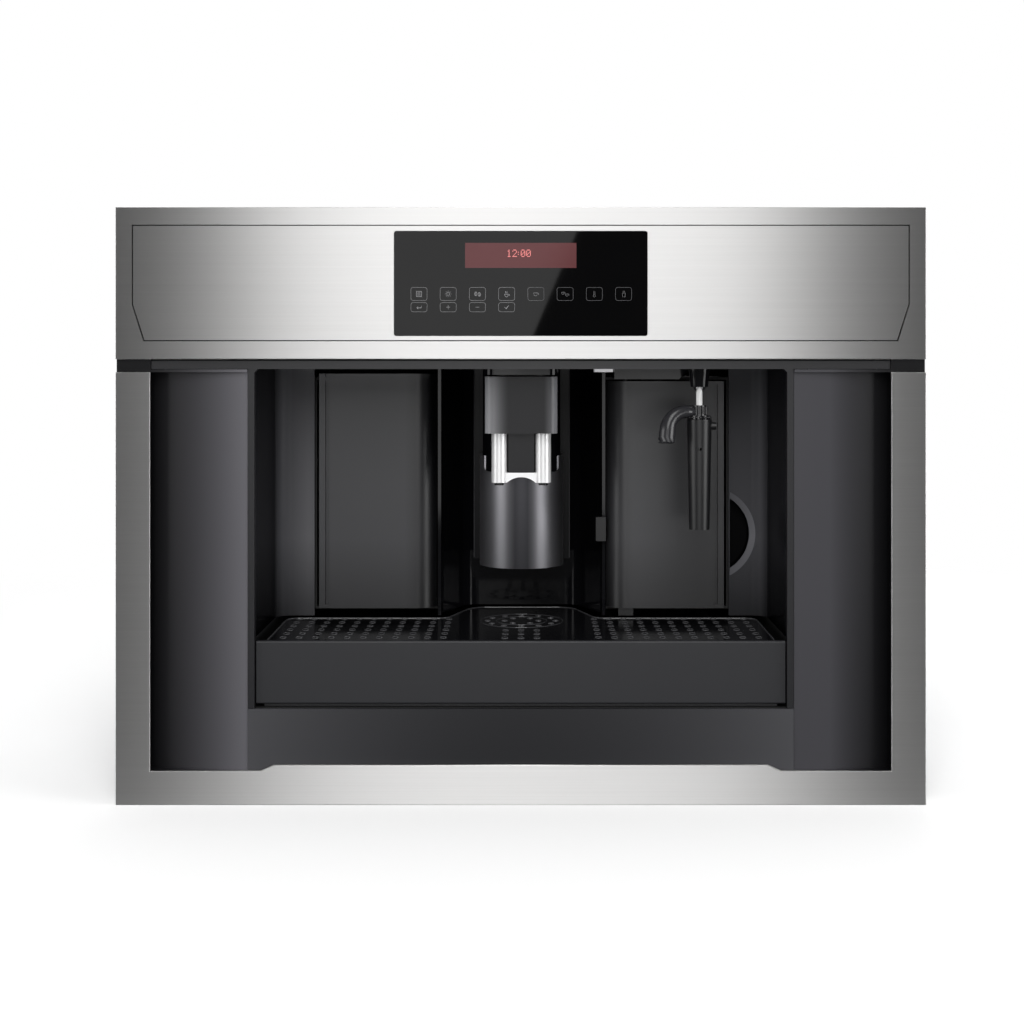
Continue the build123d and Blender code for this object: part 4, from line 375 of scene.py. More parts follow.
def gripPlastic(name, side):
    # Satin plastic with painted shade: it fades to black towards the steel stile, and the left panel is
    # painted paler than the right.
    material, graph = newMaterial(name)
    texture, handled = graph.moulded(grip["grain"], grip["marks"])
    fade = abs(graph.millimetres("X")).ramp(grip["dark"], side["full"]) ** side["power"]
    inner = graph.blend(texture, shaded(side["inner"], grip["grainDark"]), side["inner"])
    graph.surface(
        Base_Color=graph.blend(fade, grip["outer"], inner),
        Roughness=handled * grip["spread"] + grip["roughness"],
        Specular_IOR_Level=grip["shine"],
        Normal=graph.bump(texture, grip["bump"], plasticRelief))
    return material


block = {
    "middle": (0.007, 0.0071, 0.009), "left": (0.40, 0.40, 0.42), "right": (0.30, 0.30, 0.32),
    "leftStart": 9.0, "rightStart": 17.0, "half": 27.8, "power": 1.7, "roughness": 0.27, "spread": 0.06,
    "shine": 0.3, "grain": 2000, "grainRougher": 0.02, "bump": 0.08,
}


def blockPlastic():
    # The spout's block is satin black, with painted highlights that make it paler towards both of its rounded
    # edges.
    material, graph = newMaterial("blockPlastic")
    texture, handled = graph.moulded(block["grain"])
    x = graph.millimetres("X")
    left = (-x).ramp(block["leftStart"], block["half"]) ** block["power"]
    right = x.ramp(block["rightStart"], block["half"]) ** block["power"]
    graph.surface(
        Base_Color=graph.blend(right, graph.blend(left, block["middle"], block["left"]), block["right"]),
        Roughness=handled * block["spread"] + texture * block["grainRougher"] + block["roughness"],
        Specular_IOR_Level=block["shine"],
        Normal=graph.bump(texture, block["bump"], plasticRelief))
    return material


column = {"grain": 1500, "grainShare": 0.24, "bump": 0.22, "roughness": 0.33, "spread": 0.06}
# Painted light and shade on the columns: edge is painted shade, and peak is painted light beyond it.
tankFade = {"edge": (0.004, 0.004, 0.005), "peak": (0.052, 0.052, 0.057), "far": (0.052, 0.052, 0.057),
            "start": 72.0, "full": 93.0, "farStart": 100.0, "farFull": 150.0}
doorFade = {"edge": (0.022, 0.022, 0.024), "peak": (0.064, 0.064, 0.069), "far": (0.033, 0.033, 0.036),
            "start": 68.0, "full": 89.0, "farStart": 96.0, "farFull": 140.0}


def columnPlastic(name, fade):
    # Grained plastic with painted shade: darker round the column's inner edge and near the tray, and at its
    # brightest beyond that edge as painted light.
    material, graph = newMaterial(name)
    texture, handled = graph.moulded(column["grain"])
    side = abs(graph.millimetres("X"))
    flat = graph.blend(side.ramp(fade["farStart"], fade["farFull"]), fade["peak"], fade["far"])
    shade = graph.blend(side.ramp(fade["start"], fade["full"]), fade["edge"], flat)
    graph.surface(
        Base_Color=shadedLow(graph, graph.blend(texture * column["grainShare"], shade, black)),
        Roughness=handled * column["spread"] + column["roughness"],
        Normal=graph.bump(texture, column["bump"], plasticRelief))
    return material


glass = {"dark": (0.0012, 0.0012, 0.0014), "light": (0.0020, 0.0020, 0.0022), "roughness": 0.02,
         "spread": 0.02, "smear": 18, "ior": 1.52}


def touchGlass():
    material, graph = newMaterial("touchGlass")
    smear = graph.noise(glass["smear"], 3)
    graph.surface(
        Base_Color=graph.blend(smear, glass["dark"], glass["light"]),
        Roughness=smear * glass["spread"] + glass["roughness"],
        IOR=glass["ior"])
    return material


display = {"dark": (0.094, 0.027, 0.029), "light": (0.108, 0.031, 0.033), "glow": (0.30, 0.035, 0.045),
           "strength": 0.05, "roughness": 0.12, "cloud": 40}


def displayRed():
    material, graph = newMaterial("displayRed")
    graph.surface(
        Base_Color=graph.blend(graph.noise(display["cloud"]), display["dark"], display["light"]),
        Emission_Color=display["glow"],
        Emission_Strength=display["strength"],
        Roughness=display["roughness"])
    return material


tank = {"tint": (0.55, 0.58, 0.60), "light": 1.05, "roughness": 0.08, "spread": 0.05, "clear": 0.85,
        "ior": 1.49, "haze": 20}


def tankClear():
    material, graph = newMaterial("tankClear")
    haze = graph.noise(tank["haze"], 3)
    graph.surface(
        Base_Color=graph.blend(haze, tank["tint"], shaded(tank["tint"], tank["light"])),
        Roughness=haze * tank["spread"] + tank["roughness"],
        Transmission_Weight=tank["clear"],
        IOR=tank["ior"])
    return material


lens = {"dark": (0.66, 0.66, 0.68), "light": (0.74, 0.74, 0.76), "glow": (0.8, 0.8, 0.82), "strength": 0.3,
        "roughness": 0.3, "spread": 0.05, "haze": 60}


def lensPlastic():
    # The frosted lens of the cup lamp, faintly lit.
    material, graph = newMaterial("lensPlastic")
    haze = graph.noise(lens["haze"], 3)
    graph.surface(
        Base_Color=graph.blend(haze, lens["dark"], lens["light"]),
        Roughness=haze * lens["spread"] + lens["roughness"],
        Emission_Color=lens["glow"],
        Emission_Strength=lens["strength"])
    return material


board = {"Color1": (0.01, 0.10, 0.04), "Color2": (0.012, 0.13, 0.05), "Mortar": (0.02, 0.2, 0.08),
         "Mortar Size": 0.03, "Scale": 60.0}


def circuitBoard():
    material, graph = newMaterial("circuitBoard")
    tracks = graph.add("ShaderNodeTexBrick", {}, {"Vector": graph.place(), **board})
    graph.surface(Base_Color=tracks, Roughness=0.35)
    return material


finishes = [       # each finish and the nodes that wear it
    (brushedSteel("brushedSteel", steel["colour"], steel["dark"]), ["fascia_surround", "fascia_plate"]),
    # The lower frame wears the lit copy of the steel, painted paler than the fascia's.
    (brushedSteel("frameSteel", steel["lowerColour"], steel["lowerDark"]), ["front_frame"]),
    (sheetMetal("railSteel", (0.62, 0.63, 0.65), 0.3, 1.0),
     ["outer_rails", "middle_rails", "inner_rails", "panel_screws"]),
    (sheetMetal("casingSheet", (0.56, 0.57, 0.58), 0.42), ["casing_shell", "back_panel", "top_panel"]),
    (satinPlastic("carrierSteel", (0.02, 0.02, 0.022), 0.5, 700), ["mounting_frame"]),
    (touchGlass(), ["control_glass"]),
    (displayRed(), ["display_window"]),
    (circuitBoard(), ["touch_board", "power_board"]),
    (satinPlastic("trimPlastic", (0.010, 0.010, 0.012), 0.38), ["bay_trim", "control_housing"]),
    (gripPlastic("gripPlasticLeft", grip["left"]), ["grip_panel_left"]),
    (gripPlastic("gripPlasticRight", grip["right"]), ["grip_panel_right"]),
    (satinPlastic("trayPlastic", (0.021, 0.0214, 0.0245), 0.42, 1500, 0.2), ["tray_front"]),
    (bandPlastic(), ["lower_fascia"]),
    (columnPlastic("tankPlastic", tankFade), ["tank_front"]),
    (columnPlastic("doorPlastic", doorFade), ["service_door"]),
    (satinPlastic("hingePlastic", (0.007, 0.007, 0.008), 0.36), ["hinge_pins"]),
    (wallPlastic(), ["bay_wall_left", "bay_wall_right"]),
    (satinPlastic("innerPlastic", (0.003, 0.003, 0.0035), 0.6, 1200, 0.1),
     ["tray_housing", "tank_housing", "brew_housing", "inner_frame"]),
    (glossPlastic("nicheGloss", (0.004, 0.004, 0.005), 0.07, 0.22),
     ["niche_wall", "bay_ceiling", "nozzle_tips"]),
    (glossPlastic("gridGloss", (0.006, 0.006, 0.007), 0.12, 0.22), ["drip_grid"]),
    (glossPlastic("columnBlack", (0.003, 0.003, 0.004), 0.30, 0.12), ["spout_column"]),
    (lensPlastic(), ["bay_lamp"]),
    (drumMetal(), ["spout_drum"]),
    (blockPlastic(), ["spout_block"]),
    (satinChrome(), ["spout_tubes"]),
    (pipeCoat(), ["steam_pipe"]),
    (satinPlastic("wandBlack", (0.007, 0.007, 0.008), 0.36, 1200, 0.03),
     ["steam_ball", "wand_grip", "frother_sleeve"]),
    (satinPlastic("panPlastic", (0.02, 0.02, 0.022), 0.42), ["tray_pan", "grounds_box"]),
    (tankClear(), ["water_tank", "bean_hopper"]),
    (satinPlastic("lidPlastic", (0.02, 0.02, 0.022), 0.3),
     ["bean_lid", "funnel_lid", "grind_knob", "powder_funnel"]),
    (satinPlastic("brewPlastic", (0.12, 0.12, 0.125), 0.42), ["brew_frame", "brew_carriage"]),
    (sheetMetal("castAlloy", (0.6, 0.61, 0.62), 0.5, 1.0), ["boiler", "grinder_burr"]),
    (satinPlastic("motorCasing", (0.05, 0.05, 0.055), 0.4), ["water_pump", "grinder_body"]),
    (satinPlastic("hoseSilicone", (0.62, 0.62, 0.60), 0.4, 900, 0.03), ["water_hoses"]),
    (satinPlastic("inletPlastic", (0.015, 0.015, 0.016), 0.38), ["mains_inlet", "main_switch"]),
]
for material, nodeNames in finishes:
    for nodeName in nodeNames:
        slots = cadNodes[nodeName].data.materials
        slots.clear()
        slots.append(material)
bare = sorted(set(cadNodes) - {nodeName for material, nodeNames in finishes for nodeName in nodeNames})
print("finishes on the nodes, bare:", bare)


def meshPiece(name, body, material, build):
    mesh = bpy.data.meshes.new(name)
    work = bmesh.new()
    build(work)
    bmesh.ops.recalc_face_normals(work, faces=work.faces)
    work.to_mesh(mesh)
    work.free()
    mesh.materials.append(material)
    piece = bpy.data.objects.new(name, mesh)
    bpy.context.scene.collection.objects.link(piece)
    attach(piece, body)
    return piece


def skin(work, rings, closed=False):
    # Faces from ring to ring, and over both ends where the rings don't run in a circle.
    count = len(rings[0])
    for first, second in zip(rings, rings[1:] + rings[:1] if closed else rings[1:]):
        for index in range(count):
            after = (index + 1) % count
            work.faces.new((first[index], first[after], second[after], second[index]))
    if not closed:
        work.faces.new(rings[0])
        work.faces.new(rings[-1])


def neighbours(points, index, closed):
    last = len(points) - 1
    before = points[index - 1] if closed or index else points[0]
    after = points[(index + 1) % (last + 1)] if closed or index < last else points[last]
    return before, after


def ribbon(work, points, width, y, thickness, closed=False):
    # A flat stroke of even width that faces the user, through points given as (x, z).
    rings = []
    for index, (x, z) in enumerate(points):
        before, after = neighbours(points, index, closed)
        along = Vector((after[0] - before[0], after[1] - before[1])).normalized()
        into = Vector((x - before[0], z - before[1]))
        sharpness = max(0.5, along.dot(into.normalized())) if into.length > 1e-9 else 1.0
        reach = Vector((-along.y, along.x)) * (width / 2 / sharpness)
        left, right = (x + reach.x, z + reach.y), (x - reach.x, z - reach.y)
        rings.append([work.verts.new((px, py, pz)) for (px, pz), py in
                      ((left, y), (right, y), (right, y - thickness), (left, y - thickness))])
    skin(work, rings, closed)


def bead(work, points, width, height, z, closed=True):
    # A half-round raised line that lies on a level face, through points given as (x, y).
    rings = []
    for index, (x, y) in enumerate(points):
        before, after = neighbours(points, index, closed)
        along = (Vector(after) - Vector(before)).normalized()
        out = Vector((-along.y, along.x))
        ring = []
        for turn in (0, 45, 90, 135, 180):
            reach = out * (math.cos(math.radians(turn)) * width / 2)
            ring.append(work.verts.new((x + reach.x, y + reach.y, z + math.sin(math.radians(turn)) * height)))
        rings.append(ring)
    skin(work, rings, closed)


def tube(work, rings, sides=24):
    # A skin round a list of (centre, direction, radius), closed at both ends.
    loops = []
    turns = [2 * math.pi * index / sides for index in range(sides)]
    for centre, direction, radius in rings:
        aim = Vector(direction).to_track_quat("Z", "Y")
        arms = [Vector((radius * math.cos(turn), radius * math.sin(turn), 0)) for turn in turns]
        loops.append([work.verts.new(Vector(centre) + aim @ arm) for arm in arms])
    skin(work, loops)


def arc(centreX, centreZ, radiusX, start, end, steps=10, radiusZ=None):
    high = radiusX if radiusZ is None else radiusZ
    turns = [math.radians(start + (end - start) * step / steps) for step in range(steps + 1)]
    return [(centreX + radiusX * math.cos(turn), centreZ + high * math.sin(turn)) for turn in turns]


def roundedBox(width, height, radius):
    corners = ((1, 1, 0), (-1, 1, 90), (-1, -1, 180), (1, -1, 270))
    points = []
    for signX, signZ, start in corners:
        x, z = signX * (width / 2 - radius), signZ * (height / 2 - radius)
        points += arc(x, z, radius, start, start + 90, 3)
    return points


def roundedPath(corners, radii, steps=8):
    # A closed line through the corners, each rounded to its radius, as (x, y).
    points = []
    for index, radius in enumerate(radii):
        here = Vector(corners[index])
        if radius <= 0:
            points.append(tuple(here))
            continue
        back = (Vector(corners[index - 1]) - here).normalized()
        on = (Vector(corners[(index + 1) % len(corners)]) - here).normalized()
        half = math.acos(max(-1.0, min(1.0, back.dot(on)))) / 2
        centre = here + (back + on).normalized() * (radius / math.sin(half))
        first = here + back * (radius / math.tan(half)) - centre
        last = here + on * (radius / math.tan(half)) - centre
        turn = first.angle_signed(last)
        for step in range(steps + 1):
            arm = Matrix.Rotation(-turn * step / steps, 2) @ first
            points.append((centre.x + arm.x, centre.y + arm.y))
    return points


def cup(x, z, size):
    # A cup seen from the side: the bowl, its rim and the ear.
    bowl = [(x - size, z + size * 0.7)] + arc(x, z, size * 0.75, 200, 340, 6) + [(x + size, z + size * 0.7)]
    return [bowl + [bowl[0]], arc(x + size * 1.1, z + size * 0.2, size * 0.42, 80, -80, 5)]


def steamLine(x, z, height):
    return [(x + 0.22 * math.sin(step * 1.6), z + height * step / 4) for step in range(5)]


def sunRays(inner, outer, count=8):
    turns = [2 * math.pi * index / count for index in range(count)]
    return [[(radius * math.cos(turn), radius * math.sin(turn)) for radius in (inner, outer)]
            for turn in turns]


def beanSign(x, z):
    groove = [(0.2, 1.3), (-0.2, 0.4), (0.2, -0.4), (-0.2, -1.3)]
    return [arc(x, z, 1.0, 0, 360, 10, 1.5), [(x + px, z + pz) for px, pz in groove]]


def keySigns():
    # The strokes of each sign, from the middle of its key.
    return [
        [[(-2, -2), (2, -2), (2, 2), (-2, 2), (-2, -2)]] + [[(-1.2, z), (1.2, z)] for z in (0.9, 0, -0.9)],
        [arc(0, 0, 1.1, 0, 360, 12)] + sunRays(1.7, 2.4),
        beanSign(-1.3, 0.1) + beanSign(1.5, -0.3),
        cup(-0.2, -1.2, 1.5) + [steamLine(-0.8, 0.5, 1.6), steamLine(0.3, 0.5, 1.6)],
        cup(-0.3, -0.3, 1.6),
        cup(-1.7, 0.5, 1.15) + cup(1.3, -0.9, 1.15),
        [arc(0, -1.5, 0.9, 120, 420, 10), [(-0.45, -0.7), (-0.45, 2.2)], [(0.45, -0.7), (0.45, 2.2)]],
        [[(-1, 0.6), (-0.7, -2.2), (1.1, -2.2), (1.4, 0.6), (-1, 0.6)], steamLine(-0.2, 1.0, 1.5),
         steamLine(0.7, 1.0, 1.5)],
    ]


def menuSigns():
    return [
        [[(1.8, 0.9), (1.8, -0.5), (-1.6, -0.5)], [(-0.7, 0.4), (-1.7, -0.5), (-0.7, -1.4)]],
        [[(-1.5, 0), (1.5, 0)], [(0, -1.5), (0, 1.5)]],
        [[(-1.5, 0), (1.5, 0)]],
        [[(-1.7, 0), (-0.5, -1.2), (1.7, 1.3)]],
    ]


printed = {"wear": 900, "thickness": 0.03, "roughness": 0.4, "dark": 0.9, "wornShare": 0.15,
           "worn": (0.02, 0.02, 0.02), "paleEnd": -5.0, "dimStart": 22.0}


def sheenPaintedPrint(name, left, right):
    # Painted reflection: the print is painted paler on the left half of the glass.
    material, graph = newMaterial(name)
    shade = graph.blend(graph.millimetres("X").ramp(printed["paleEnd"], printed["dimStart"]), left, right)
    graph.surface(
        Base_Color=graph.blend(graph.noise(printed["wear"]) * printed["wornShare"], shade, printed["worn"]),
        Roughness=printed["roughness"])
    return material


def glowingPrint(name, colour, strength):
    material, graph = newMaterial(name)
    graph.surface(
        Base_Color=graph.blend(graph.noise(printed["wear"]), shaded(colour, printed["dark"]), colour),
        Roughness=printed["roughness"],
        Emission_Color=colour,
        Emission_Strength=strength)
    return material


def printStrokes(work, strokes, width, y, closed=False):
    for stroke in strokes:
        points = [(mm(x), mm(z)) for x, z in stroke]
        ribbon(work, points, mm(width), y, mm(printed["thickness"]), closed)


keys = {
    "firstX": -74.7, "pitch": 21.45, "topZ": 375.1, "lowZ": 365.4, "topSize": (11.8, 9.6),
    "lowSize": (11.8, 6.8), "corner": 1.6, "line": 0.28, "signLine": 0.26, "signScale": 0.95,
    "leftLine": (0.19, 0.19, 0.195), "rightLine": (0.06, 0.06, 0.065),
    "leftSign": (0.34, 0.34, 0.35), "rightSign": (0.11, 0.11, 0.115),
}


def makeKeys():
    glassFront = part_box("control_glass")[0].y
    line = sheenPaintedPrint("keyPrint", keys["leftLine"], keys["rightLine"])
    ink = sheenPaintedPrint("signPrint", keys["leftSign"], keys["rightSign"])
    rows = (("Programme", keySigns(), keys["topZ"], keys["topSize"]),
            ("Menu", menuSigns(), keys["lowZ"], keys["lowSize"]))
    for label, signs, z, size in rows:
        for index, sign in enumerate(signs):
            x = keys["firstX"] + keys["pitch"] * index
            outline = [(x + px, z + pz) for px, pz in roundedBox(*size, keys["corner"])]
            strokes = [[(x + px * keys["signScale"], z + pz * keys["signScale"]) for px, pz in stroke]
                       for stroke in sign]
            meshPiece(f"key{label}{index + 1}", "machine", line,
                      lambda work: printStrokes(work, [outline], keys["line"], glassFront, closed=True))
            meshPiece(f"sign{label}{index + 1}", "machine", ink,
                      lambda work: printStrokes(work, strokes, keys["signLine"], glassFront))


clock = {
    "text": "12:00", "left": -10.2, "top": 407.6, "dot": 0.56, "stepX": 0.68, "stepZ": 0.78,
    "glow": (0.72, 0.20, 0.19), "strength": 0.75,
}
dotFont = {        # plain five by seven digits, one string a row
    "0": (" ### ", "#   #", "#  ##", "# # #", "##  #", "#   #", " ### "),
    "1": ("  #  ", " ##  ", "  #  ", "  #  ", "  #  ", "  #  ", " ### "),
    "2": (" ### ", "#   #", "    #", "   # ", "  #  ", " #   ", "#####"),
    ":": ("  ", "  ", "# ", "  ", "# ", "  ", "  "),
}


def clockDots():
    # Each lit dot as a stroke that is as wide as it is long.
    strokes = []
    x = clock["left"]
    for letter in clock["text"]:
        for row, dots in enumerate(dotFont[letter]):
            z = clock["top"] - row * clock["stepZ"] - clock["dot"] / 2
            lefts = [x + column * clock["stepX"] for column, dot in enumerate(dots) if dot == "#"]
            strokes += [[(left, z), (left + clock["dot"], z)] for left in lefts]
        x += (len(dotFont[letter][0]) + 1) * clock["stepX"]
    return strokes


def makeClock():
    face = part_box("display_window")[0].y
    glow = glowingPrint("clockGlow", clock["glow"], clock["strength"])
    meshPiece("clockDigits", "machine", glow,
              lambda work: printStrokes(work, clockDots(), clock["dot"], face))


grid = {
    "half": 190.0, "front": 12.0, "sideDepth": 113.6, "backDepth": 171.0, "wide": 62.0, "narrow": 44.0,
    "backRadius": 20.0, "footRadius": 8.0, "cornerRadius": 12.0, "beadInset": 2.2, "beadWidth": 0.9,
    "beadHeight": 0.7, "pitchX": 12.0, "pitchY": 17.0, "columns": 11, "rows": 6, "edge": 12.0, "shift": 3.0,
    "slotLength": 6.4, "slotWidth": 4.1, "ringRadius": 27.0, "ringDepth": 100.0, "holeRadius": 2.0,
    "holeArc": (342, 18), "ringHoles": 12, "frontSlots": 3, "frontDepth": 38.0, "rimWidth": 0.5,
    "rimHeight": 0.35, "rimCorner": 0.49, "circleRadii": (33.0, 20.0), "circleWidth": 0.6,
    "circleArc": (352.5, 47),
    "rimHighlight": (0.085, 0.085, 0.09), "edgeHighlight": (0.05, 0.05, 0.053), "roughness": 0.14, "shine": 0.5,
}


def gridPlaces():
    # The middles of the slots and of the round holes, as (x, depth).
    middle = (grid["front"] + grid["sideDepth"]) / 2 + grid["shift"]
    first = grid["half"] - grid["edge"] - (grid["columns"] - 1) * grid["pitchX"]
    centre = (grid["rows"] - 1) / 2
    slots = [(side * (first + column * grid["pitchX"]), middle + (row - centre) * grid["pitchY"])
             for side in (-1, 1) for column in range(grid["columns"]) for row in range(grid["rows"])]
    inner = (grid["frontSlots"] - 1) / 2
    slots += [((column - inner) * grid["pitchX"], grid["frontDepth"] + (row - inner) * grid["pitchY"])
              for column in range(grid["frontSlots"]) for row in range(grid["frontSlots"])]
    holes = []
    for share in (1, 2):        # the outer ring, and one of half its radius and half its holes
        radius, count = grid["ringRadius"] / share, grid["ringHoles"] // share
        turns = [2 * math.pi * index / count for index in range(count)]
        holes += [(radius * math.cos(turn), grid["ringDepth"] - radius * math.sin(turn)) for turn in turns]
    return slots, holes


def makeGridRims():
    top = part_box("drip_grid")[1].z
    # The raised lines round the slots and holes are painted paler than the black grid, as painted highlights.
    rimPlastic = glossPlastic("rimPlastic", grid["rimHighlight"], grid["roughness"], grid["shine"])
    # The bead along the back edge and the two circles are painted paler too, as painted highlights.
    edgePlastic = glossPlastic("edgePlastic", grid["edgeHighlight"], grid["roughness"], grid["shine"])
    slots, holes = gridPlaces()
    rim = grid["rimWidth"]
    slotRim = roundedBox(grid["slotWidth"] + rim, grid["slotLength"] + rim,
                         grid["slotWidth"] / 2 + rim * grid["rimCorner"])
    holeRim = arc(0, 0, grid["holeRadius"] + rim / 2, 0, *grid["holeArc"])        # closed by its bead

    def build(work):
        for places, outline in ((slots, [(px, -py) for px, py in slotRim]), (holes, holeRim)):
            for x, depth in places:
                points = [(mm(x + px), atDepth(depth) - mm(py)) for px, py in outline]
                bead(work, points, mm(rim), mm(grid["rimHeight"]), top)

    def buildEdge(work):
        inset = grid["beadInset"]
        half, side = grid["half"] - inset, grid["sideDepth"] - inset
        wide, narrow, back = grid["wide"] - inset, grid["narrow"] - inset, grid["backDepth"] - inset
        front = grid["front"] + inset
        corners = [(half, front), (half, side), (wide, side), (narrow, back), (-narrow, back), (-wide, side),
                   (-half, side), (-half, front)]
        bends = [grid["cornerRadius"] - inset, grid["footRadius"] + inset, grid["backRadius"] - inset]
        path = [(mm(x), atDepth(depth)) for x, depth in roundedPath(corners, [0] + bends + bends[::-1] + [0])]
        bead(work, path, mm(grid["beadWidth"]), mm(grid["beadHeight"]), top, closed=False)
        for radius in grid["circleRadii"]:
            circle = arc(0, 0, radius, 0, *grid["circleArc"])
            points = [(mm(px), atDepth(grid["ringDepth"]) - mm(py)) for px, py in circle]
            bead(work, points, mm(grid["circleWidth"]), mm(grid["rimHeight"]), top)

    meshPiece("gridRims", "tray_grid", rimPlastic, build)
    meshPiece("gridEdge", "tray_grid", edgePlastic, buildEdge)


# These strips are a dark piece that stands for the shade in the gap: painted shade.
gapShade = {"side": 0.2, "length": 25.0, "front": 3.0, "back": 7.0, "corner": 0.6, "overlap": 0.5,
        "colour": (0.004, 0.004, 0.005), "roughness": 0.4, "shine": 0.2}


def makeGapShade():
    # Painted shade: two black strips close the ends of the gap between the fascia and the lower front, where
    # the gap lies in shade.
    top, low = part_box("fascia_surround")[0].z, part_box("front_frame")[1].z
    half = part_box("fascia_surround")[1].x - mm(gapShade["side"])
    height, depth = top - low + 2 * mm(gapShade["overlap"]), mm(gapShade["back"] - gapShade["front"])
    middleY, middleZ = atDepth(gapShade["front"]) + depth / 2, (top + low) / 2
    section = roundedBox(depth, height, mm(gapShade["corner"]))
    blackFinish = glossPlastic("gapShadeBlack", gapShade["colour"], gapShade["roughness"], gapShade["shine"])

    def build(work):
        for side in (-1, 1):
            skin(work, [[work.verts.new((side * x, middleY + py, middleZ + pz)) for py, pz in section]
                        for x in (half, half - mm(gapShade["length"]))])

    meshPiece("gapShadeStrips", "machine", blackFinish, build)


hook = {
    "tube": 5.7, "bend": 14.0, "root": 4.9, "mouth": 6.3, "growth": 1.5, "lean": 1.0, "steps": 22,
    "startDepth": 28.0, "sunk": 0.5,
    "lip": ((1.6, 0.0), (0.7, -0.1), (0.15, -0.5), (0.0, -1.1), (0.2, -1.6), (1.5, -1.8), (6.5, -1.9)),
    "colour": (0.026, 0.026, 0.029), "roughness": 0.24, "grain": 1200, "bump": 0.03,
}


def makeHook():
    # The grip hook: a tube that widens from its root to a rounded, hollow mouth.
    low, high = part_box("wand_grip")
    radius, bend = mm(hook["tube"]), mm(hook["bend"])
    topZ, endX = high.z - radius, low.x + radius
    startY, endY = atDepth(hook["startDepth"]), low.y + radius
    path = [Vector((high.x - mm(hook["sunk"]), startY, topZ)), Vector((endX + bend, 0, topZ))]
    for step in range(1, hook["steps"] + 1):
        turn = math.radians(90 * step / hook["steps"])
        path.append(Vector((endX + bend * (1 - math.sin(turn)), 0, topZ - bend * (1 - math.cos(turn)))))
    path.append(Vector((endX - mm(hook["lean"]) / 2, 0, (topZ - bend + low.z) / 2)))
    path.append(Vector((endX - mm(hook["lean"]), 0, low.z + mm(hook["lip"][0][0]))))
    reach = path[0].x - endX
    for point in path:
        point.y = startY + (endY - startY) * min(1.0, (path[0].x - point.x) / reach)
    last = len(path) - 1
    rings = []
    for index, point in enumerate(path):
        along = path[min(index + 1, last)] - path[max(index - 1, 0)]
        grown = (index / last) ** hook["growth"]
        rings.append((point, along, mm(hook["root"] + (hook["mouth"] - hook["root"]) * grown)))
    for rise, shrink in hook["lip"][1:]:
        centre = (path[last].x, path[last].y, low.z + mm(rise))
        rings.append((centre, (0, 0, -1), mm(hook["mouth"] + shrink)))

    blackFinish = satinPlastic("hookBlack", hook["colour"], hook["roughness"], hook["grain"], hook["bump"])
    piece = meshPiece("wandHook", "steam_arm", blackFinish, lambda work: tube(work, rings))
    for face in piece.data.polygons:
        face.use_smooth = True
    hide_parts("wand_grip")


plate = {"half": 39.7, "depth": 142.0, "radius": 0.5, "foot": 1.0, "sides": 12,
         "colour": (0.05, 0.05, 0.053), "roughness": 0.2, "shine": 0.5}


def makePlateEdges():
    # The rounded front edges of the plate that carries the spout's slide, painted paler than the plate as
    # painted highlights.
    low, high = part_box("spout_column")
    heights = (low.z + mm(plate["foot"]), (low.z + high.z) / 2, high.z - mm(plate["foot"]))
    edgeGloss = glossPlastic("plateGloss", plate["colour"], plate["roughness"], plate["shine"])

    def build(work):
        for side in (-1, 1):
            x = side * mm(plate["half"] - plate["radius"])
            rings = [((x, atDepth(plate["depth"]), z), (0, 0, 1), mm(plate["radius"])) for z in heights]
            tube(work, rings, plate["sides"])

    meshPiece("plateEdges", "machine", edgeGloss, build)


makeKeys()
makeClock()
print("glass printed")
makePlateEdges()
makeGapShade()
makeHook()
print("seal and hook made")
makeGridRims()
print("grid's raised lines made")


view = {
    "place": (0.0068, -1.356, 0.323), "lens": 55.1, "sensor": 36.0, "shift": (-0.0176, -0.1436),
    "near": 0.02, "far": 60,
}


def makeCamera():
    data = bpy.data.cameras.new("viewCamera")
    data.sensor_width = view["sensor"]
    data.lens = view["lens"]
    data.shift_x, data.shift_y = view["shift"]
    data.clip_start = view["near"]
    data.clip_end = view["far"]
    camera = bpy.data.objects.new("viewCamera", data)
    camera.location = view["place"]
    camera.rotation_euler = (math.radians(90), 0, 0)
    bpy.context.scene.collection.objects.link(camera)
    bpy.context.scene.camera = camera


lamps = {        # place, target, width, height, power in watts, turn in degrees
    "tallBox": ((-0.01, -2.2, 1.72), (-0.02, -0.2, 0.35), 1.22, 2.3, 33.5, 0),
    "lowBox": ((-0.01, -2.0, 0.17), (-0.02, -0.2, 0.34), 1.22, 0.30, 3.0, 0),
    "glassCard": ((-0.1081, -1.5, 0.4713), (-0.1081, 0.0, 0.4713), 0.30, 0.34, 0.27, -22.8),
    "leftBox": ((-1.45, -0.60, 0.28), (0.0, -0.1, 0.25), 1.5, 0.65, 9, 0),
    "rightBox": ((1.45, -0.60, 0.28), (0.0, -0.1, 0.25), 1.5, 0.65, 14, 0),
    "top": ((0.0, 0.3, 2.2), (0.0, 0.1, 0.3), 1.6, 1.6, 14, 0),
    "rear": ((0.3, 2.2, 1.3), (0.0, 0.2, 0.2), 1.6, 1.2, 24, 0),
}


def makeLamps():
    for name, (place, target, width, height, power, turn) in lamps.items():
        data = bpy.data.lights.new(name, "AREA")
        data.shape = "RECTANGLE"
        data.size = width
        data.size_y = height
        data.energy = power
        lamp = bpy.data.objects.new(name, data)
        lamp.location = place
        aim = (Vector(target) - Vector(place)).to_track_quat("-Z", "Y").to_matrix()
        lamp.rotation_euler = (aim @ Matrix.Rotation(math.radians(turn), 3, "Z")).to_euler()
        bpy.context.scene.collection.objects.link(lamp)


floor = {"radius": 1.7, "sides": 96, "near": 0.75, "far": 1.3, "paper": 0.9, "front": 0.12, "roughness": 0.5,
         "behindStart": -0.3, "behindFull": 0.1}


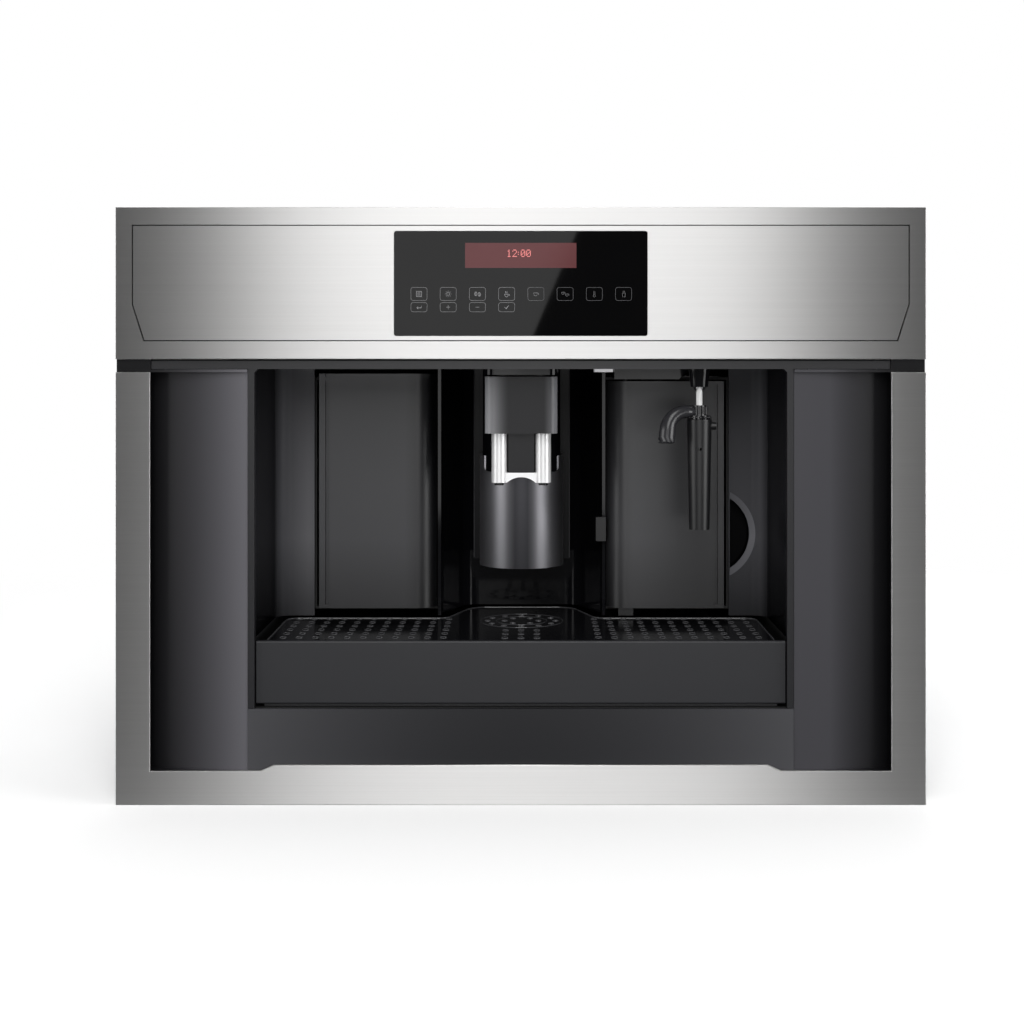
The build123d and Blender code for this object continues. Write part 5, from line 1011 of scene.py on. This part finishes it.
def backgroundRays(graph, behind):
    # Camera and transmission rays see the white room everywhere, and glossy rays see it behind the machine.
    straight = graph.add("ShaderNodeLightPath", output="Is Camera Ray")
    through = graph.add("ShaderNodeLightPath", output="Is Transmission Ray")
    glossy = graph.add("ShaderNodeLightPath", output="Is Glossy Ray")
    return straight.larger(through).larger(glossy * behind)


def makeFloor():
    # Paper that keeps the machine's shadow and turns white towards its rim.
    material, graph = newMaterial("floorPaper")
    x, y = graph.axis("X"), graph.axis("Y")
    far = ((x * x + y * y) ** 0.5).ramp(floor["near"], floor["far"])
    seen = backgroundRays(graph, y.ramp(floor["behindStart"], floor["behindFull"]))
    paper = graph.blend(seen, (floor["front"],) * 3, (floor["paper"],) * 3)
    lit = graph.add("ShaderNodeBsdfDiffuse", {}, {"Color": paper, "Roughness": floor["roughness"]})
    glow = graph.add("ShaderNodeEmission", {}, {"Color": white, "Strength": 1.0})
    mix = graph.add("ShaderNodeMixShader", {}, {0: far * seen, 1: lit, 2: glow})
    graph.add("ShaderNodeOutputMaterial", {}, {"Surface": mix})
    bpy.ops.mesh.primitive_circle_add(
        vertices=floor["sides"], radius=floor["radius"], fill_type="NGON", location=(0, 0, 0))
    ground = bpy.context.object
    ground.name = "studioFloor"
    ground.data.materials.append(material)


room = {"ambient": 0.40, "frontShade": 0.035, "behindStart": 0.1, "behindFull": 0.4}


def makeWorld():
    world = bpy.data.worlds.new("studioWorld")
    bpy.context.scene.world = world
    graph = Graph(world)
    direction = graph.add("ShaderNodeTexCoord", output="Generated")
    back = graph.add("ShaderNodeSeparateXYZ", {}, {0: direction}, output="Y")
    behind = back.ramp(room["behindStart"], room["behindFull"])        # 0 at the camera, 1 past the machine
    glossy = graph.add("ShaderNodeLightPath", output="Is Glossy Ray")
    dim = glossy * room["frontShade"] + (1 - glossy) * room["ambient"]
    seen = backgroundRays(graph, behind)
    background = graph.add("ShaderNodeBackground", {}, {"Color": white, "Strength": seen + (1 - seen) * dim})
    graph.add("ShaderNodeOutputWorld", {}, {"Surface": background})


makeCamera()
makeLamps()
makeFloor()
makeWorld()
bpy.context.scene.view_settings.view_transform = "Standard"
print("studio ready")
